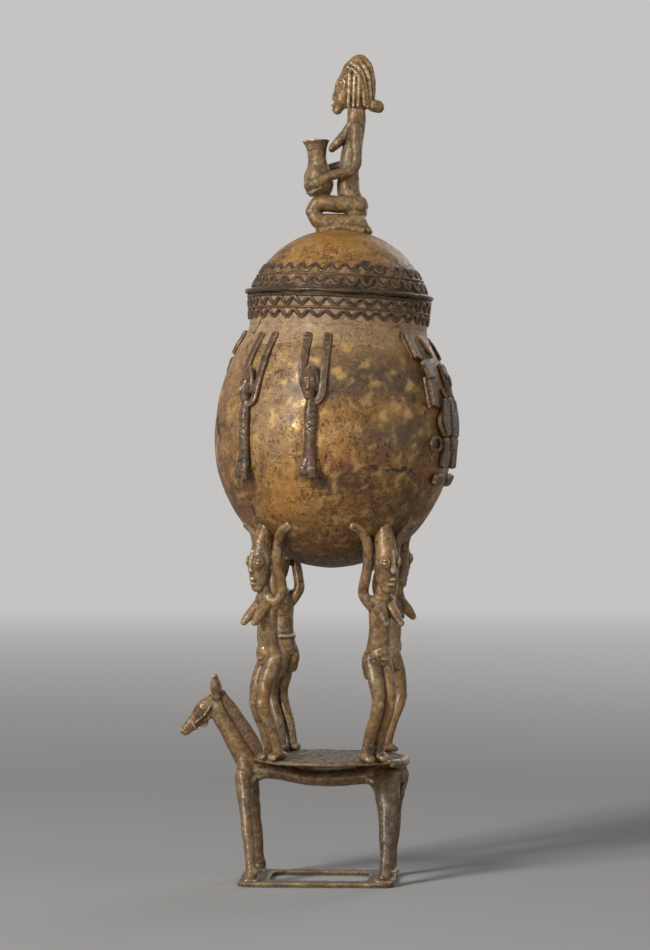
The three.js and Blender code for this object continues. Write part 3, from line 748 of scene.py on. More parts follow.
class Wax:
    """A lump of wax in millimetres: rolls, straps and balls that later become one skin."""

    CAP_ANGLES = (0.22, 0.5, 0.8, 1.15)

    def __init__(self) -> None:
        """Starts with nothing."""
        self.bm = bmesh.new()

    def take(self, part: bmesh.types.BMesh, place: Matrix | None = None) -> None:
        """Adds a finished part to the lump.

        Args:
            part: The part, which is used up.
            place: A turn and move for it.
        """
        if place is not None:
            bmesh.ops.transform(part, matrix=place, verts=part.verts)
        mesh = as_mesh(part, "stroke")
        self.bm.from_mesh(mesh)
        bpy.data.meshes.remove(mesh)

    def roll(
        self,
        path: Iterable[Point],
        radii: Sequence[Radius],
        across: Point = (0, 1, 0),
        square: float = 2.0,
        sides: int = 20,
        pitch: float = 0.9,
    ) -> None:
        """Adds a roll with rounded ends.

        Args:
            path: Points of its middle line.
            radii: A radius or a pair of radii for each point.
            across: Direction in which the first radius of a pair is measured.
            square: 2 for a round section, more for one with flat sides.
            sides: Points round the section.
            pitch: Distance between two sections.
        """
        line = Centreline(path)
        pairs = [as_pair(r) for r in radii]
        last = len(pairs) - 1
        rings = max(4, math.ceil(line.length() / pitch))
        starts = [(0.0, -math.cos(a), math.sin(a)) for a in self.CAP_ANGLES]
        middles = [(i / rings, 0.0, 1.0) for i in range(rings + 1)]
        ends = [(1.0, math.cos(a), math.sin(a)) for a in reversed(self.CAP_ANGLES)]
        part = bmesh.new()
        ring = bmesh.ops.create_circle(part, radius=1, segments=sides)["verts"]
        for vert in ring:
            for axis in (0, 1):
                size = abs(vert.co[axis])
                vert.co[axis] = math.copysign(size ** (2 / square), vert.co[axis])
        edges = list(part.edges)
        now = Matrix.Identity(4)
        for count, (share, beyond, scale) in enumerate(starts + middles + ends):
            low = min(int(share * last), last - 1)
            blend = share * last - low
            blend = blend * blend * (3 - 2 * blend)
            a, b = (pairs[low][k] + (pairs[low + 1][k] - pairs[low][k]) * blend for k in (0, 1))
            tangent = line.tangent(share)
            side = Vector(across) - Vector(across).dot(tangent) * tangent
            side.normalize()
            deep = tangent.cross(side)
            middle = line.at(share) + tangent * beyond * min(a, b)
            place = framed(side * a * scale, deep * b * scale, tangent, middle)
            if count > 0:
                ring, edges = extruded(part, edges)
            bmesh.ops.transform(part, matrix=place @ now.inverted(), verts=ring)
            now = place
        bmesh.ops.holes_fill(part, edges=part.edges, sides=0)
        bmesh.ops.recalc_face_normals(part, faces=part.faces)
        self.take(part)

    def pair(self, path: Iterable[Point], radii: Sequence[Radius], **options: object) -> None:
        """Adds a roll and its mirror image across the plane y = 0.

        Args:
            path: The roll's path.
            radii: Its radii along the path.
            options: What else a roll takes.
        """
        points = list(path)
        self.roll(points, radii, **options)
        self.roll(mirrored(points), radii, **options)

    def ball(self, centre: Point, radii: float | Point, turn: float = 0.0) -> None:
        """Adds a ball.

        Args:
            centre: Its middle.
            radii: One radius, or one along each of its own axes.
            turn: How far those axes are turned about Z.
        """
        sizes = (radii,) * 3 if isinstance(radii, (int, float)) else radii
        part = bmesh.new()
        bmesh.ops.create_uvsphere(part, u_segments=18, v_segments=12, radius=1)
        place = Matrix.Translation(centre) @ Matrix.Rotation(turn, 4, "Z")
        self.take(part, place @ Matrix.Diagonal((*sizes, 1)))

    def balls(self, centre: Point, radii: float | Point, turn: float = 0.0) -> None:
        """Adds a ball and its mirror image across the plane y = 0."""
        self.ball(centre, radii, turn)
        self.ball((centre[0], -centre[1], centre[2]), radii, -turn)

    def ring(self, centre: Point, first: Point, second: Point, radius: float) -> None:
        """Adds a thin ring.

        Args:
            centre: Its middle.
            first: From the middle to a point of the ring.
            second: The same, a quarter turn further.
            radius: Half its thickness.
        """
        middle, one, two = Vector(centre), Vector(first), Vector(second)
        turns = [TURN * i / 12 for i in range(13)]
        path = [middle + one * math.cos(t) + two * math.sin(t) for t in turns]
        self.roll(path, [radius] * 13, across=one.cross(two), sides=10)

    def eyes(self, centre: Point, radii: Point, turn: float, rim: float) -> None:
        """Adds a pair of flat pellet eyes, each with a rim.

        Args:
            centre: Middle of the left one.
            radii: Its depth, half width and half height.
            turn: Direction in which it looks, from +X.
            rim: Thickness of the rim, halved.
        """
        self.balls(centre, radii, turn)
        for side in (-1, 1):
            out = Vector((math.cos(turn), side * math.sin(turn), 0))
            along = Vector((-out.y, out.x, 0)) * (radii[1] + rim)
            middle = Vector((centre[0], side * centre[1], centre[2])) + out * radii[0] * 0.3
            self.ring(middle, along, (0, 0, radii[2] + rim), rim)

    def placed(self, place: Matrix) -> "Wax":
        """Turns and moves the whole lump, and gives it back."""
        bmesh.ops.transform(self.bm, matrix=place, verts=self.bm.verts)
        return self

    def skin(self, name: str, voxel: float) -> "Casting":
        """Joins the strokes into one skin.

        Args:
            name: Name of the piece.
            voxel: Size of the skin's faces.

        Returns:
            The casting, still in millimetres.
        """
        mesh = as_mesh(self.bm, name)
        lump = in_scene(f"{name}_wax", mesh)
        remesh = lump.modifiers.new("skin", "REMESH")
        remesh.mode = "VOXEL"
        remesh.voxel_size = voxel
        lump_now = lump.evaluated_get(bpy.context.evaluated_depsgraph_get())
        skin = bpy.data.meshes.new_from_object(lump_now)
        bpy.data.objects.remove(lump)
        bpy.data.meshes.remove(mesh)
        remove_bubbles(skin)
        casting = Casting(name, skin)
        casting.soften(2)
        return casting


def remove_bubbles(mesh: bpy.types.Mesh, least: int = 100) -> None:
    """Takes out the tiny closed bubbles that skinning leaves inside a lump.

    Args:
        mesh: The skin.
        least: Points of the smallest shell that stays.
    """
    bm = bmesh.new()
    bm.from_mesh(mesh)
    loose = set(bm.verts)
    bubbles = []
    while loose:
        shell = [loose.pop()]
        for vert in shell:
            near = {edge.other_vert(vert) for edge in vert.link_edges} & loose
            loose -= near
            shell += near
        if len(shell) < least:
            bubbles += shell
    bmesh.ops.delete(bm, geom=bubbles, context="VERTS")
    bm.to_mesh(mesh)
    bm.free()


def turned(name: str, profile: Sequence[tuple[float, float]], sides: int) -> "Casting":
    """Turns a closed solid about Z.

    Args:
        name: Name of the piece.
        profile: Radius and height of each point, from the axis to the axis or round to itself.
        sides: Faces round the axis.

    Returns:
        The casting, in millimetres.
    """
    bm = bmesh.new()
    verts = [bm.verts.new((r, 0, z)) for r, z in profile]
    edges = [bm.edges.new(two) for two in zip(verts, verts[1:])]
    bmesh.ops.spin(
        bm,
        geom=verts + edges,
        cent=(0, 0, 0),
        axis=(0, 0, 1),
        angle=TURN,
        steps=sides,
        use_merge=True,
    )
    bmesh.ops.remove_doubles(bm, verts=bm.verts, dist=DOUBLES)
    bmesh.ops.recalc_face_normals(bm, faces=bm.faces)
    return Casting(name, as_mesh(bm, name))


def refined(profile: Sequence[tuple[float, float]], step: float) -> list[tuple[float, float]]:
    """Splits the straight stretches of a profile.

    Args:
        profile: Its corners.
        step: Longest stretch that stays.

    Returns:
        The profile with more points.
    """
    found = [profile[0]]
    for (r0, z0), (r1, z1) in zip(profile, profile[1:]):
        count = max(1, math.ceil(math.hypot(r1 - r0, z1 - z0) / step))
        found += [(r0 + (r1 - r0) * i / count, z0 + (z1 - z0) * i / count) for i in range(1, count + 1)]
    return found


class Casting:
    """The skin of one piece, finished by moving its points."""

    RELIEF_ROUNDS = 16
    BROAD_ROUNDS = 80
    BROAD_SHARE = 0.85

    def __init__(self, name: str, mesh: bpy.types.Mesh) -> None:
        """Reads the points and the edges.

        Args:
            name: The piece's name.
            mesh: Its skin.
        """
        self.name = name
        self.mesh = mesh
        self.points = np.zeros(len(mesh.vertices) * 3, np.float32)
        mesh.vertices.foreach_get("co", self.points)
        self.points = self.points.reshape(-1, 3).astype(float)
        self.edges = np.zeros(len(mesh.edges) * 2, np.int32)
        mesh.edges.foreach_get("vertices", self.edges)
        self.edges = self.edges.reshape(-1, 2)
        self.degree = np.bincount(self.edges.ravel(), minlength=len(self.points))[:, None]

    def averaged(self, values: np.ndarray, rounds: int) -> np.ndarray:
        """Moves the value of each point half way to the mean of its neighbours, repeatedly.

        Args:
            values: One row for each point.
            rounds: How often.

        Returns:
            The moved values.
        """
        a, b = self.edges.T
        count = len(values)
        for _ in range(rounds):
            columns = [
                np.bincount(a, column[b], count) + np.bincount(b, column[a], count)
                for column in values.T
            ]
            values = (values + np.stack(columns, axis=1) / self.degree) / 2
        return values

    def normals(self) -> np.ndarray:
        """The direction out of the skin at each point.

        Returns:
            One row for each point.
        """
        self.mesh.vertices.foreach_set("co", self.points.astype(np.float32).ravel())
        self.mesh.update()
        found = np.zeros(len(self.points) * 3, np.float32)
        self.mesh.vertices.foreach_get("normal", found)
        return found.reshape(-1, 3).astype(float)

    def soften(self, rounds: int) -> "Casting":
        """Smooths the skin a little."""
        self.points = self.averaged(self.points, rounds)
        return self

    def moved(self, place: Matrix) -> "Casting":
        """Turns and moves the piece.

        Args:
            place: Where it goes.

        Returns:
            The same casting.
        """
        matrix = np.array(place)
        self.points = self.points @ matrix[:3, :3].T + matrix[:3, 3]
        return self

    def pressed(self, press: Callable[[np.ndarray], np.ndarray]) -> "Casting":
        """Presses the skin against its neighbour."""
        self.points = press(self.points)
        return self

    def waver(self, size: float, height: float, seed: float = 0.0) -> "Casting":
        """Makes the skin uneven, as hand-rolled wax is.

        Args:
            size: Size of the unevenness.
            height: How far it goes in or out.
            seed: Another number gives other places.

        Returns:
            The piece itself.
        """
        shift = np.array((seed * 7.3, seed * 3.1, seed * 5.7))
        values = [noise.noise(p) for p in (self.points / size + shift).tolist()]
        self.points += self.normals() * (np.array(values) * height)[:, None]
        return self

    def incise(self, lines: Iterable[Iterable[Point]], width: float, depth: float) -> "Casting":
        """Cuts grooves into the skin.

        Args:
            lines: The points of each groove, on or near the skin.
            width: Half width of a groove.
            depth: Its depth.

        Returns:
            The piece itself.
        """
        nearest = np.full(len(self.points), np.inf)
        for line in lines:
            corners = [np.array(p, float) for p in line]
            for start, end in zip(corners, corners[1:]):
                low = np.minimum(start, end) - 3 * width
                high = np.maximum(start, end) + 3 * width
                near = np.where(((self.points > low) & (self.points < high)).all(axis=1))[0]
                if len(near) == 0:
                    continue
                way = end - start
                offset = self.points[near] - start
                share = np.clip(offset @ way / (way @ way), 0, 1)
                gap = np.linalg.norm(offset - share[:, None] * way, axis=1)
                nearest[near] = np.minimum(nearest[near], gap)
        cut = np.exp(-((np.minimum(nearest, 9 * width) / width) ** 2)) * depth
        self.points -= self.normals() * cut[:, None]
        return self

    def finished(self) -> bpy.types.Object:
        """Stores how far each point stands out of its surroundings, and makes the object.

        Returns:
            The piece in metres, at the origin.
        """
        rest = self.averaged(self.points, self.RELIEF_ROUNDS)
        out = ((self.points - rest) * self.normals()).sum(axis=1, keepdims=True)
        out -= self.averaged(out, self.BROAD_ROUNDS) * self.BROAD_SHARE
        relief = self.mesh.attributes.new(RELIEF, "FLOAT", "POINT")
        relief.data.foreach_set("value", out.ravel().astype(np.float32))
        self.points *= MM
        self.normals()
        self.mesh.shade_smooth()
        return in_scene(self.name, self.mesh)


class Foundry:
    """Dresses the pieces and hangs them on the CAD bodies."""

    def __init__(self) -> None:
        """Makes the materials."""
        self.materials = {finish: finish.value.material() for finish in Finish}

    def deliver(self, casting: Casting, body: str, finish: Finish, node: str) -> None:
        """Finishes a piece and puts it on its body in place of its CAD node.

        Args:
            casting: The piece.
            body: The CAD body that it rides on.
            finish: Its finish.
            node: The CAD node that it stands for.
        """
        piece = casting.finished()
        piece.data.materials.clear()
        piece.data.materials.append(self.materials[finish])
        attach(piece, body)
        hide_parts(node)
        log.info("%s: %d faces on %s", piece.name, len(piece.data.polygons), body)


STAND = "pot_on_stand"
LID = "lid"


# Ground frame and horse


@dataclass
class GroundFrame:
    """Rounded flat frame with one long opening."""

    foundry: Foundry
    length: float = 77.5
    width: float = 52.0
    thick: float = 2.6
    corner: float = 6.0
    head_end: float = 15.0
    tail_end: float = 13.5
    left_rail: float = 9.0
    right_rail: float = 6.0
    slot_corner: float = 7.0
    voxel: float = 0.45

    def _loop(
        self, bm: bmesh.types.BMesh, x: tuple[float, float], y: tuple[float, float], corner: float
    ) -> list[bmesh.types.BMEdge]:
        """Adds a rounded rectangle as a loop of edges.

        Args:
            bm: Where it goes.
            x: Its ends along x.
            y: Its ends along y.
            corner: Radius of its corners.

        Returns:
            The edges.
        """
        ring = bmesh.ops.create_circle(bm, radius=1, segments=48, matrix=Matrix.Rotation(0.01, 4, "Z"))
        for vert in ring["verts"]:
            right, far = vert.co.x > 0, vert.co.y > 0
            vert.co.x = (x[1] - corner if right else x[0] + corner) + corner * vert.co.x
            vert.co.y = (y[1] - corner if far else y[0] + corner) + corner * vert.co.y
        return list({edge for vert in ring["verts"] for edge in vert.link_edges})

    def make(self) -> None:
        """Models the frame."""
        x, y = self.length / 2, self.width / 2
        bm = bmesh.new()
        outer = self._loop(bm, (-x, x), (-y, y), self.corner)
        slot_x = (-x + self.head_end, x - self.tail_end)
        slot_y = (-y + self.left_rail, y - self.right_rail)
        inner = self._loop(bm, slot_x, slot_y, self.slot_corner)
        floor = bmesh.ops.bridge_loops(bm, edges=outer + inner)["faces"]
        raised = bmesh.ops.extrude_face_region(bm, geom=floor)["geom"]
        top = [g for g in raised if isinstance(g, bmesh.types.BMVert)]
        bmesh.ops.translate(bm, verts=top, vec=(0, 0, self.thick))
        bmesh.ops.recalc_face_normals(bm, faces=bm.faces)
        wax = Wax()
        wax.take(bm)
        casting = wax.skin("cast_ground_frame", self.voxel).soften(3)
        casting.waver(9.0, 0.5, 1).waver(3.0, 0.16, 2)
        casting.pressed(lambda p: np.maximum(p, (-np.inf, -np.inf, 0.0)))
        self.foundry.deliver(casting, STAND, Finish.GREY, "ground_frame")


@dataclass
class Horse:
    """Horse with a sagging back, a crest of mane and four splayed legs."""

    foundry: Foundry
    plate: SupportPlate
    fore_x: float = -31.25
    hind_x: float = 34.55
    chest_reach: float = 4.6
    rump_reach: float = 1.6
    back: float = 60.6
    stance: float = 20.4
    stagger: float = 1.6
    leg_bow: float = 2.4
    hind_bow: float = 0.7
    foot_floor: float = 2.6
    fetlock: float = 2.3
    hip_spread: float = 3.5
    hip_drop: float = 7.0
    mane_half: float = 1.3
    mane_depth: float = 7.0
    strand_count: int = 13
    voxel: float = 0.42
    stubs: ClassVar[dict[bool, list[Radius]]] = {
        True: [(1.6, 2.6), (4, 4.4), (3.8, 4.2), (2.4, 2.6)],
        False: [(2.4, 4.4), (5.5, 7.2), (5.1, 6.3), (3.4, 3.8)],
    }

    @property
    def chest_x(self) -> float:
        """Front end of the barrel."""
        return self.fore_x - self.chest_reach

    def at(self, points: Iterable[Point]) -> list[Point]:
        """Points of the head and neck, given as forward, side and up from the withers."""
        return [(self.chest_x - f, y, self.back + up) for f, y, up in points]

    def along(self, points: Iterable[tuple[float, float]]) -> list[Point]:
        """Points of the barrel, given as a share of its length and a depth under the plate."""
        reach = self.hind_x + self.rump_reach - self.chest_x
        return [(self.chest_x + reach * share, 0, self.back - down) for share, down in points]

    def _leg_line(self, side: int, front: bool) -> list[Vector]:
        """Middle line of a leg, from the hip to the foot.

        Args:
            side: -1 for the left leg, 1 for the right.
            front: Whether it is a foreleg.

        Returns:
            Its points.
        """
        shift = self.stagger if side > 0 else -self.stagger / 2
        foot_x = (self.fore_x if front else self.hind_x) + shift / 2
        hip_x = (self.fore_x - 5 if front else self.hind_x + 0.8) + shift
        foot = Vector((foot_x, side * self.stance, self.foot_floor + self.fetlock))
        hip = Vector((hip_x, side * self.hip_spread, self.back - self.hip_drop))
        path = []
        for share in (0, 0.2, 0.5, 0.84, 1):
            point = hip.lerp(foot, share)
            point.y += self.leg_bow * side * math.sin(math.pi * share)
            point.x += (0.0 if front else self.hind_bow) * math.sin(math.pi * share)
            path.append(point)
        return path

    def _barrel(self, wax: Wax) -> None:
        """Adds barrel, saddle and neck.

        Args:
            wax: The lump.
        """
        barrel = [(0, 4.6), (0.18, 6), (0.48, 9.2), (0.75, 8.4), (0.97, 5.6), (1.07, 7)]
        radii = [(5, 5), (5.2, 3.8), (5.6, 3.8), (5.6, 4), (6.6, 6.4), (4.6, 4.8)]
        wax.roll(self.along(barrel), radii)
        saddle = [(0.12, 4.2), (0.34, 5), (0.6, 5.4), (0.86, 4.2)]
        wax.roll(self.along(saddle), [(1.5, 3.4), (1.5, 4.2), (1.5, 4.6), (1.5, 3.4)])
        neck = [(-1, 0, -3), (4.5, 0, 7), (10.5, 0, 17.5), (15.4, 0, 26.5)]
        wax.roll(self.at(neck), [(5, 5.6), (4.1, 4.9), (3.7, 4.5), (3.6, 4.3)])

    def _hips(self, wax: Wax) -> None:
        """Adds the tops of the legs, the arches that run into them and the shoulders.

        Args:
            wax: The lump.
        """
        for side in (-1, 1):
            for front, radii in self.stubs.items():
                line = self._leg_line(side, front)
                start = line[0] + Vector((0, -1.5 * side, 5.4))
                wax.roll([start, line[0], line[1], line[1].lerp(line[2], 0.7)], radii)
        arch = [(-27.5, 2.4, 53.2), (-32.4, 4.4, 51), (-34.6, 7.4, 43)]
        wax.pair(arch, [(2.6, 2), (2.8, 2.6), (2.4, 2.2)])
        arch = [(22, 2.4, 52.4), (28.4, 4.4, 49.9), (32.6, 7.6, 40)]
        wax.pair(arch, [(2.6, 2), (3.1, 2.8), (2.8, 2.6)])
        shoulder = [(2.8, 1.2, 2.6), (0.6, 2.6, -3), (-0.6, 4, -9)]
        wax.pair(self.at(shoulder), [(2.6, 3), (3.7, 4.2), (3.4, 3.8)])

    def _head(self, wax: Wax) -> None:
        """Adds head, jaw, ears, forelock and eyes.

        Args:
            wax: The lump.
        """
        head = [(15.6, 0, 29.6), (20.6, 0, 25.6), (26, 0, 19.4), (31, 0, 14.2)]
        wax.roll(self.at(head), [(3.2, 3.8), (3.5, 4.5), (2.7, 3.6), (2.3, 2.8)], square=2.3)
        wax.roll(self.at([(18, 0, 22.6), (23.4, 0, 18.2)]), [(2.3, 1.9), (1.6, 1.4)])
        ear = [(15, 2.4, 31.5), (15.4, 3.4, 36.5), (16, 3.4, 42)]
        wax.pair(self.at(ear), [(1.5, 2.3), (1.4, 2.9), (0.8, 1.3)])
        wax.roll(self.at([(16.4, 0, 34), (19, 0, 31.6), (21.4, 0, 28.6)]), [1.3, 1.2, 0.7])
        wax.balls(self.at([(21.7, 2.9, 26.8)])[0], (1.5, 0.9, 1.3))

    def _halter(self, wax: Wax) -> None:
        """Adds noseband, cheek straps and the lump under the chin.

        Args:
            wax: The lump.
        """
        band = [(27.6, 0, 21.4), (26.8, 2.7, 18.6), (25.4, 2.4, 15.8), (24.8, 0, 14.8)]
        wax.pair(self.at(band), [0.34] * 4, sides=10)
        cheek = [(17, 2.6, 30.4), (18.6, 3.7, 25.4), (22, 3.4, 21), (25.6, 2.8, 18.4)]
        wax.pair(self.at(cheek), [0.3] * 4, sides=10)
        wax.roll(self.at([(23.4, 0, 17.6), (21.2, 0, 17), (19.8, 0, 18.4)]), [1.2, 1.2, 0.8])

    def _seam_and_tail(self, wax: Wax) -> None:
        """Adds the lumps of wax along the plate's right edge, and the stub of a tail.

        Args:
            wax: The lump.
        """
        plate = self.plate
        radius = plate.radius - 1.2
        turns = [TURN * degrees / 360 for degrees in range(-32, 33, 8)]
        height = plate.top - 2.4
        seam = [(plate.x + radius * math.cos(t), radius * math.sin(t), height) for t in turns]
        wax.roll(seam, [1.2, 1.9, 2.4, 2.1, 2.7, 2.3, 2.6, 1.9, 1.2], pitch=1.5)
        tail = [(1.02, 1.6), (1.1, 5), (1.1, 11), (1.05, 21)]
        wax.roll(self.along(tail), [(3.4, 2.2), (2.8, 2), (2, 1.6), (1.2, 1)])

    def _trunk(self) -> None:
        """Models the trunk: barrel, neck, head with its halter, tail and the tops of the legs."""
        wax = Wax()
        self._barrel(wax)
        self._hips(wax)
        self._head(wax)
        self._halter(wax)
        self._seam_and_tail(wax)
        casting = wax.skin("cast_horse_trunk", self.voxel)
        casting.waver(8.0, 0.35, 3).waver(2.4, 0.06, 4)
        mouth = self.at([(33.4, 0, 12.6), (31.6, 2.4, 13.8), (29.4, 2.6, 15.2)])
        slit = self.at([(20.6, 3.9, 26.6), (22.8, 3.9, 26.9)])
        nostril = self.at([(32.4, 1.6, 15), (31.8, 1.9, 16)])
        lines = [half for line in (mouth, slit, nostril) for half in (mirrored(line), line)]
        casting.incise(lines, width=0.32, depth=0.4)
        casting.pressed(lambda p: np.column_stack((p[:, :2], self._under_plate(p))))
        self.foundry.deliver(casting, STAND, Finish.BARE, "horse_trunk")

    def _under_plate(self, points: np.ndarray) -> np.ndarray:
        """Heights of the points, kept under the plate's top where the plate lies over them.

        Args:
            points: The skin's points.

        Returns:
            One height for each point.
        """
        plate = self.plate
        covered = np.hypot(points[:, 0] - plate.x, points[:, 1]) < plate.radius - 3
        covered &= points[:, 2] < plate.top + 4
        return np.where(covered, np.minimum(points[:, 2], plate.top - 0.8), points[:, 2])

    def _mane(self) -> None:
        """Models the crest of mane with its strands."""
        wax = Wax()
        crest = self.at([(12.4, 0, 33.4), (6.6, 0, 24), (-0.4, 0, 13), (-4.6, 0, 6.4), (-6, 0, 2.4)])
        depths = [self.mane_depth * share for share in (0.28, 0.44, 0.54, 0.48, 0.36)]
        wax.roll(crest, [(self.mane_half, depth) for depth in depths], square=2.6)
        casting = wax.skin("cast_horse_mane", self.voxel)
        casting.waver(6.0, 0.3, 5).waver(2.0, 0.06, 6)
        line = Centreline(crest)
        strands = []
        for i in range(self.strand_count):
            root = line.at((i + 0.5) / self.strand_count)
            for side in (-1, 1):
                y = side * self.mane_half
                strands.append([(root.x + 5, y, root.z + 2.4), (root.x - 3.4, y * 1.1, root.z - 1.2)])
        casting.incise(strands, width=0.4, depth=0.1)
        self.foundry.deliver(casting, STAND, Finish.MANE, "horse_mane")

    def _leg(self, side: int, front: bool) -> None:
        """Models one leg.

        Args:
            side: -1 for the left leg, 1 for the right.
            front: Whether it is a foreleg.
        """
        path = self._leg_line(side, front)
        path[0] = path[0].lerp(path[1], 0.5)
        foot = path[-1]
        fore = [(3.6, 4), (3.3, 3.6), 3, 2.6, 2.8]
        hind = [(5, 6.6), (4.6, 5.7), (3.7, 4.2), 3.1, 3.3]
        wax = Wax()
        wax.roll(path, fore if front else hind)
        down = Vector((0, 0, -1))
        wax.roll([foot - down * 2, foot + down * 0.6 + Vector((-0.6, 0, 0))], [2.9, 3.3])
        spread = 1.0 if front else 1.35
        pad = [foot + Vector((along * spread, 0, -2.1)) for along in (2, -2.6)]
        wax.roll(pad, [(3.8 * spread, 1.5 * spread), (3.6 * spread, 1.4 * spread)])
        label = f"horse_{'left' if side < 0 else 'right'}_{'fore' if front else 'hind'}leg"
        casting = wax.skin(f"cast_{label}", self.voxel).soften(3)
        casting.waver(7.0, 0.35, 7 + side + front).waver(2.4, 0.08, 9 + side)
        casting.pressed(lambda p: np.maximum(p, (-np.inf, -np.inf, self.foot_floor - 0.6)))
        self.foundry.deliver(casting, STAND, Finish.BARE if front else Finish.HIND_LEG, label)

    def make(self) -> None:
        """Models the horse."""
        self._trunk()
        self._mane()
        for side in (-1, 1):
            for front in (True, False):
                self._leg(side, front)


@dataclass
class SupportPlate:
    """Round plate on the horse's back."""

    foundry: Foundry
    x: float = 6.2
    low: float = 60.6
    thick: float = 2.0
    radius: float = 38.2
    bevel: float = 1.0

    @property
    def top(self) -> float:
        """Height of its upper face."""
        return self.low + self.thick

    def make(self) -> None:
        """Models the plate, whose edge is ragged."""
        edge = self.radius - self.bevel
        profile = [
            (0, self.low),
            (edge, self.low),
            (self.radius, self.low + self.thick * 0.4),
            (edge, self.top),
            (0, self.top),
        ]
        casting = turned("cast_support_plate", refined(profile, 0.7), 280)
        casting.moved(Matrix.Translation((self.x, 0, 0)))
        casting.waver(16.0, 0.35, 11).waver(4.0, 0.34, 12).waver(1.8, 0.24, 13)
        self.foundry.deliver(casting, STAND, Finish.GREY, "support_plate")


# Pot


@dataclass
class PotShape:
    """The egg of the pot and the sphere of the lid, which the other pieces follow."""

    lean: float = math.radians(2.4)
    x: float = 5.1
    z: float = 156.788
    radius: float = 59.5
    belly: float = 64.5
    upper: float = 77.5
    wall: float = 2.5
    neck_radius: float = 41.6
    neck_wall: float = 2.2
    neck_height: float = 134.4
    seat: float = 0.3
    collar_wall: float = 2.2
    collar_flare: float = 1.3
    lid_inset: float = 0.6
    dome_sink: float = 12.0
    dome_wall: float = 2.4

    @property
    def place(self) -> Matrix:
        """Place of the pot's own frame."""
        return Matrix.Translation((self.x, 0, self.z)) @ Matrix.Rotation(self.lean, 4, "Y")

    @property
    def lid_place(self) -> Matrix:
        """Place of the lid's own frame."""
        return self.place @ Matrix.Translation((0, 0, self.neck_height + self.seat))

    @property
    def crown_place(self) -> Matrix:
        """Place of the top of the lid's dome."""
        return self.lid_place @ Matrix.Translation((0, 0, self.dome_top))

    @property
    def collar_foot(self) -> float:
        """Radius of the collar at its foot."""
        return self.neck_radius + self.seat + self.collar_wall

    @property
    def collar_mouth(self) -> float:
        """Radius of the collar at the mouth."""
        return self.collar_foot + self.collar_flare

    @property
    def dome_radius(self) -> float:
        """Radius of the lid's sphere."""
        return math.hypot(self.collar_mouth - self.lid_inset, self.dome_sink)

    @property
    def dome_top(self) -> float:
        """Top of the dome over the lid's rim."""
        return self.dome_radius - self.dome_sink

    def reach(self, height: float) -> float:
        """Half height of the ellipse that holds at a height."""
        return self.belly if height < self.belly else self.upper

    def bowl_radius(self, height: float) -> float:
        """Radius of the bowl at a height."""
        share = (height - self.belly) / self.reach(height)
        return self.radius * math.sqrt(1 - share**2)

    def shoulder(self, radius: float) -> float:
        """Height at which the shoulder has a radius."""
        return self.belly + self.upper * math.sqrt(1 - (radius / self.radius) ** 2)

    def collar_radius(self, height: float) -> float:
        """Radius of the collar's outside at a height.

        Args:
            height: Height in the pot's frame.

        Returns:
            The radius.
        """
        foot = self.shoulder(self.collar_foot)
        share = (height - foot) / (self.neck_height - foot)
        return self.collar_foot + (self.collar_mouth - self.collar_foot) * share

    def dome_at(self, height: float) -> float:
        """Radius of the dome's outside at a height over the rim."""
        return math.sqrt(self.dome_radius**2 - (height + self.dome_sink) ** 2)

    def bowl_line(self, top: float, grow: float, steps: int) -> list[tuple[float, float]]:
        """Outline of the bowl from the axis to a height on the shoulder.

        Args:
            top: That height.
            grow: How far it is moved outwards.
            steps: Stretches.

        Returns:
            Radius and height of each point.
        """
        high = math.asin((top - self.belly) / self.upper)
        found = []
        for i in range(steps + 1):
            angle = -math.pi / 2 + (high + math.pi / 2) * i / steps
            reach = (self.belly if angle < 0 else self.upper) + grow
            radius = 0.0 if i == 0 else (self.radius + grow) * math.cos(angle)
            found.append((radius, self.belly + reach * math.sin(angle)))
        return found

    def on_bowl(self, bearing: float, point: Point) -> Point:
        """Place in the pot's frame of a point of a relief.

        Args:
            bearing: Degrees from +X to the relief's middle line.
            point: Millimetres round the pot, height, and distance out from the bowl.

        Returns:
            The place.
        """
        across, height, lift = point
        turn = math.radians(bearing) + across / self.radius
        slope = (height - self.belly) * self.radius**2 / self.reach(height) ** 2
        out = Vector((self.bowl_radius(height), slope)).normalized() * lift
        radius = self.bowl_radius(height) + out.x
        return (radius * math.cos(turn), radius * math.sin(turn), height + out.y)

    def press_on_bowl(self, points: np.ndarray, depth: float = 0.8) -> np.ndarray:
        """Moves points that lie deep in the bowl's wall out to a small depth.

        Args:
            points: The points, in the row frame.
            depth: The depth that stays.

        Returns:
            The points.
        """
        frame = np.array(self.place)
        own = (points - frame[:3, 3]) @ frame[:3, :3]
        up = own[:, 2] - self.belly
        reach = np.where(up < 0, self.belly, self.upper)
        share = np.sqrt((own[:, 0] ** 2 + own[:, 1] ** 2) / self.radius**2 + (up / reach) ** 2)
        least = 1 - depth / self.radius
        factor = np.where(share < least, least / np.maximum(share, 1e-6), 1.0)[:, None]
        middle = np.array((0, 0, self.belly))
        return ((own - middle) * factor + middle) @ frame[:3, :3].T + frame[:3, 3]

    def press_on_dome(self, points: np.ndarray, depth: float = 0.8) -> np.ndarray:
        """Moves points that lie deep in the dome's wall out to a small depth.

        Args:
            points: The skin's points.
            depth: The depth under the dome's outside.

        Returns:
            The moved points.
        """
        frame = np.array(self.lid_place)
        middle = frame[:3, 3] - frame[:3, 2] * self.dome_sink
        out = points - middle
        gap = np.linalg.norm(out, axis=1)
        least = self.dome_radius - depth
        factor = np.where(gap < least, least / np.maximum(gap, 1e-6), 1.0)[:, None]
        return middle + out * factor


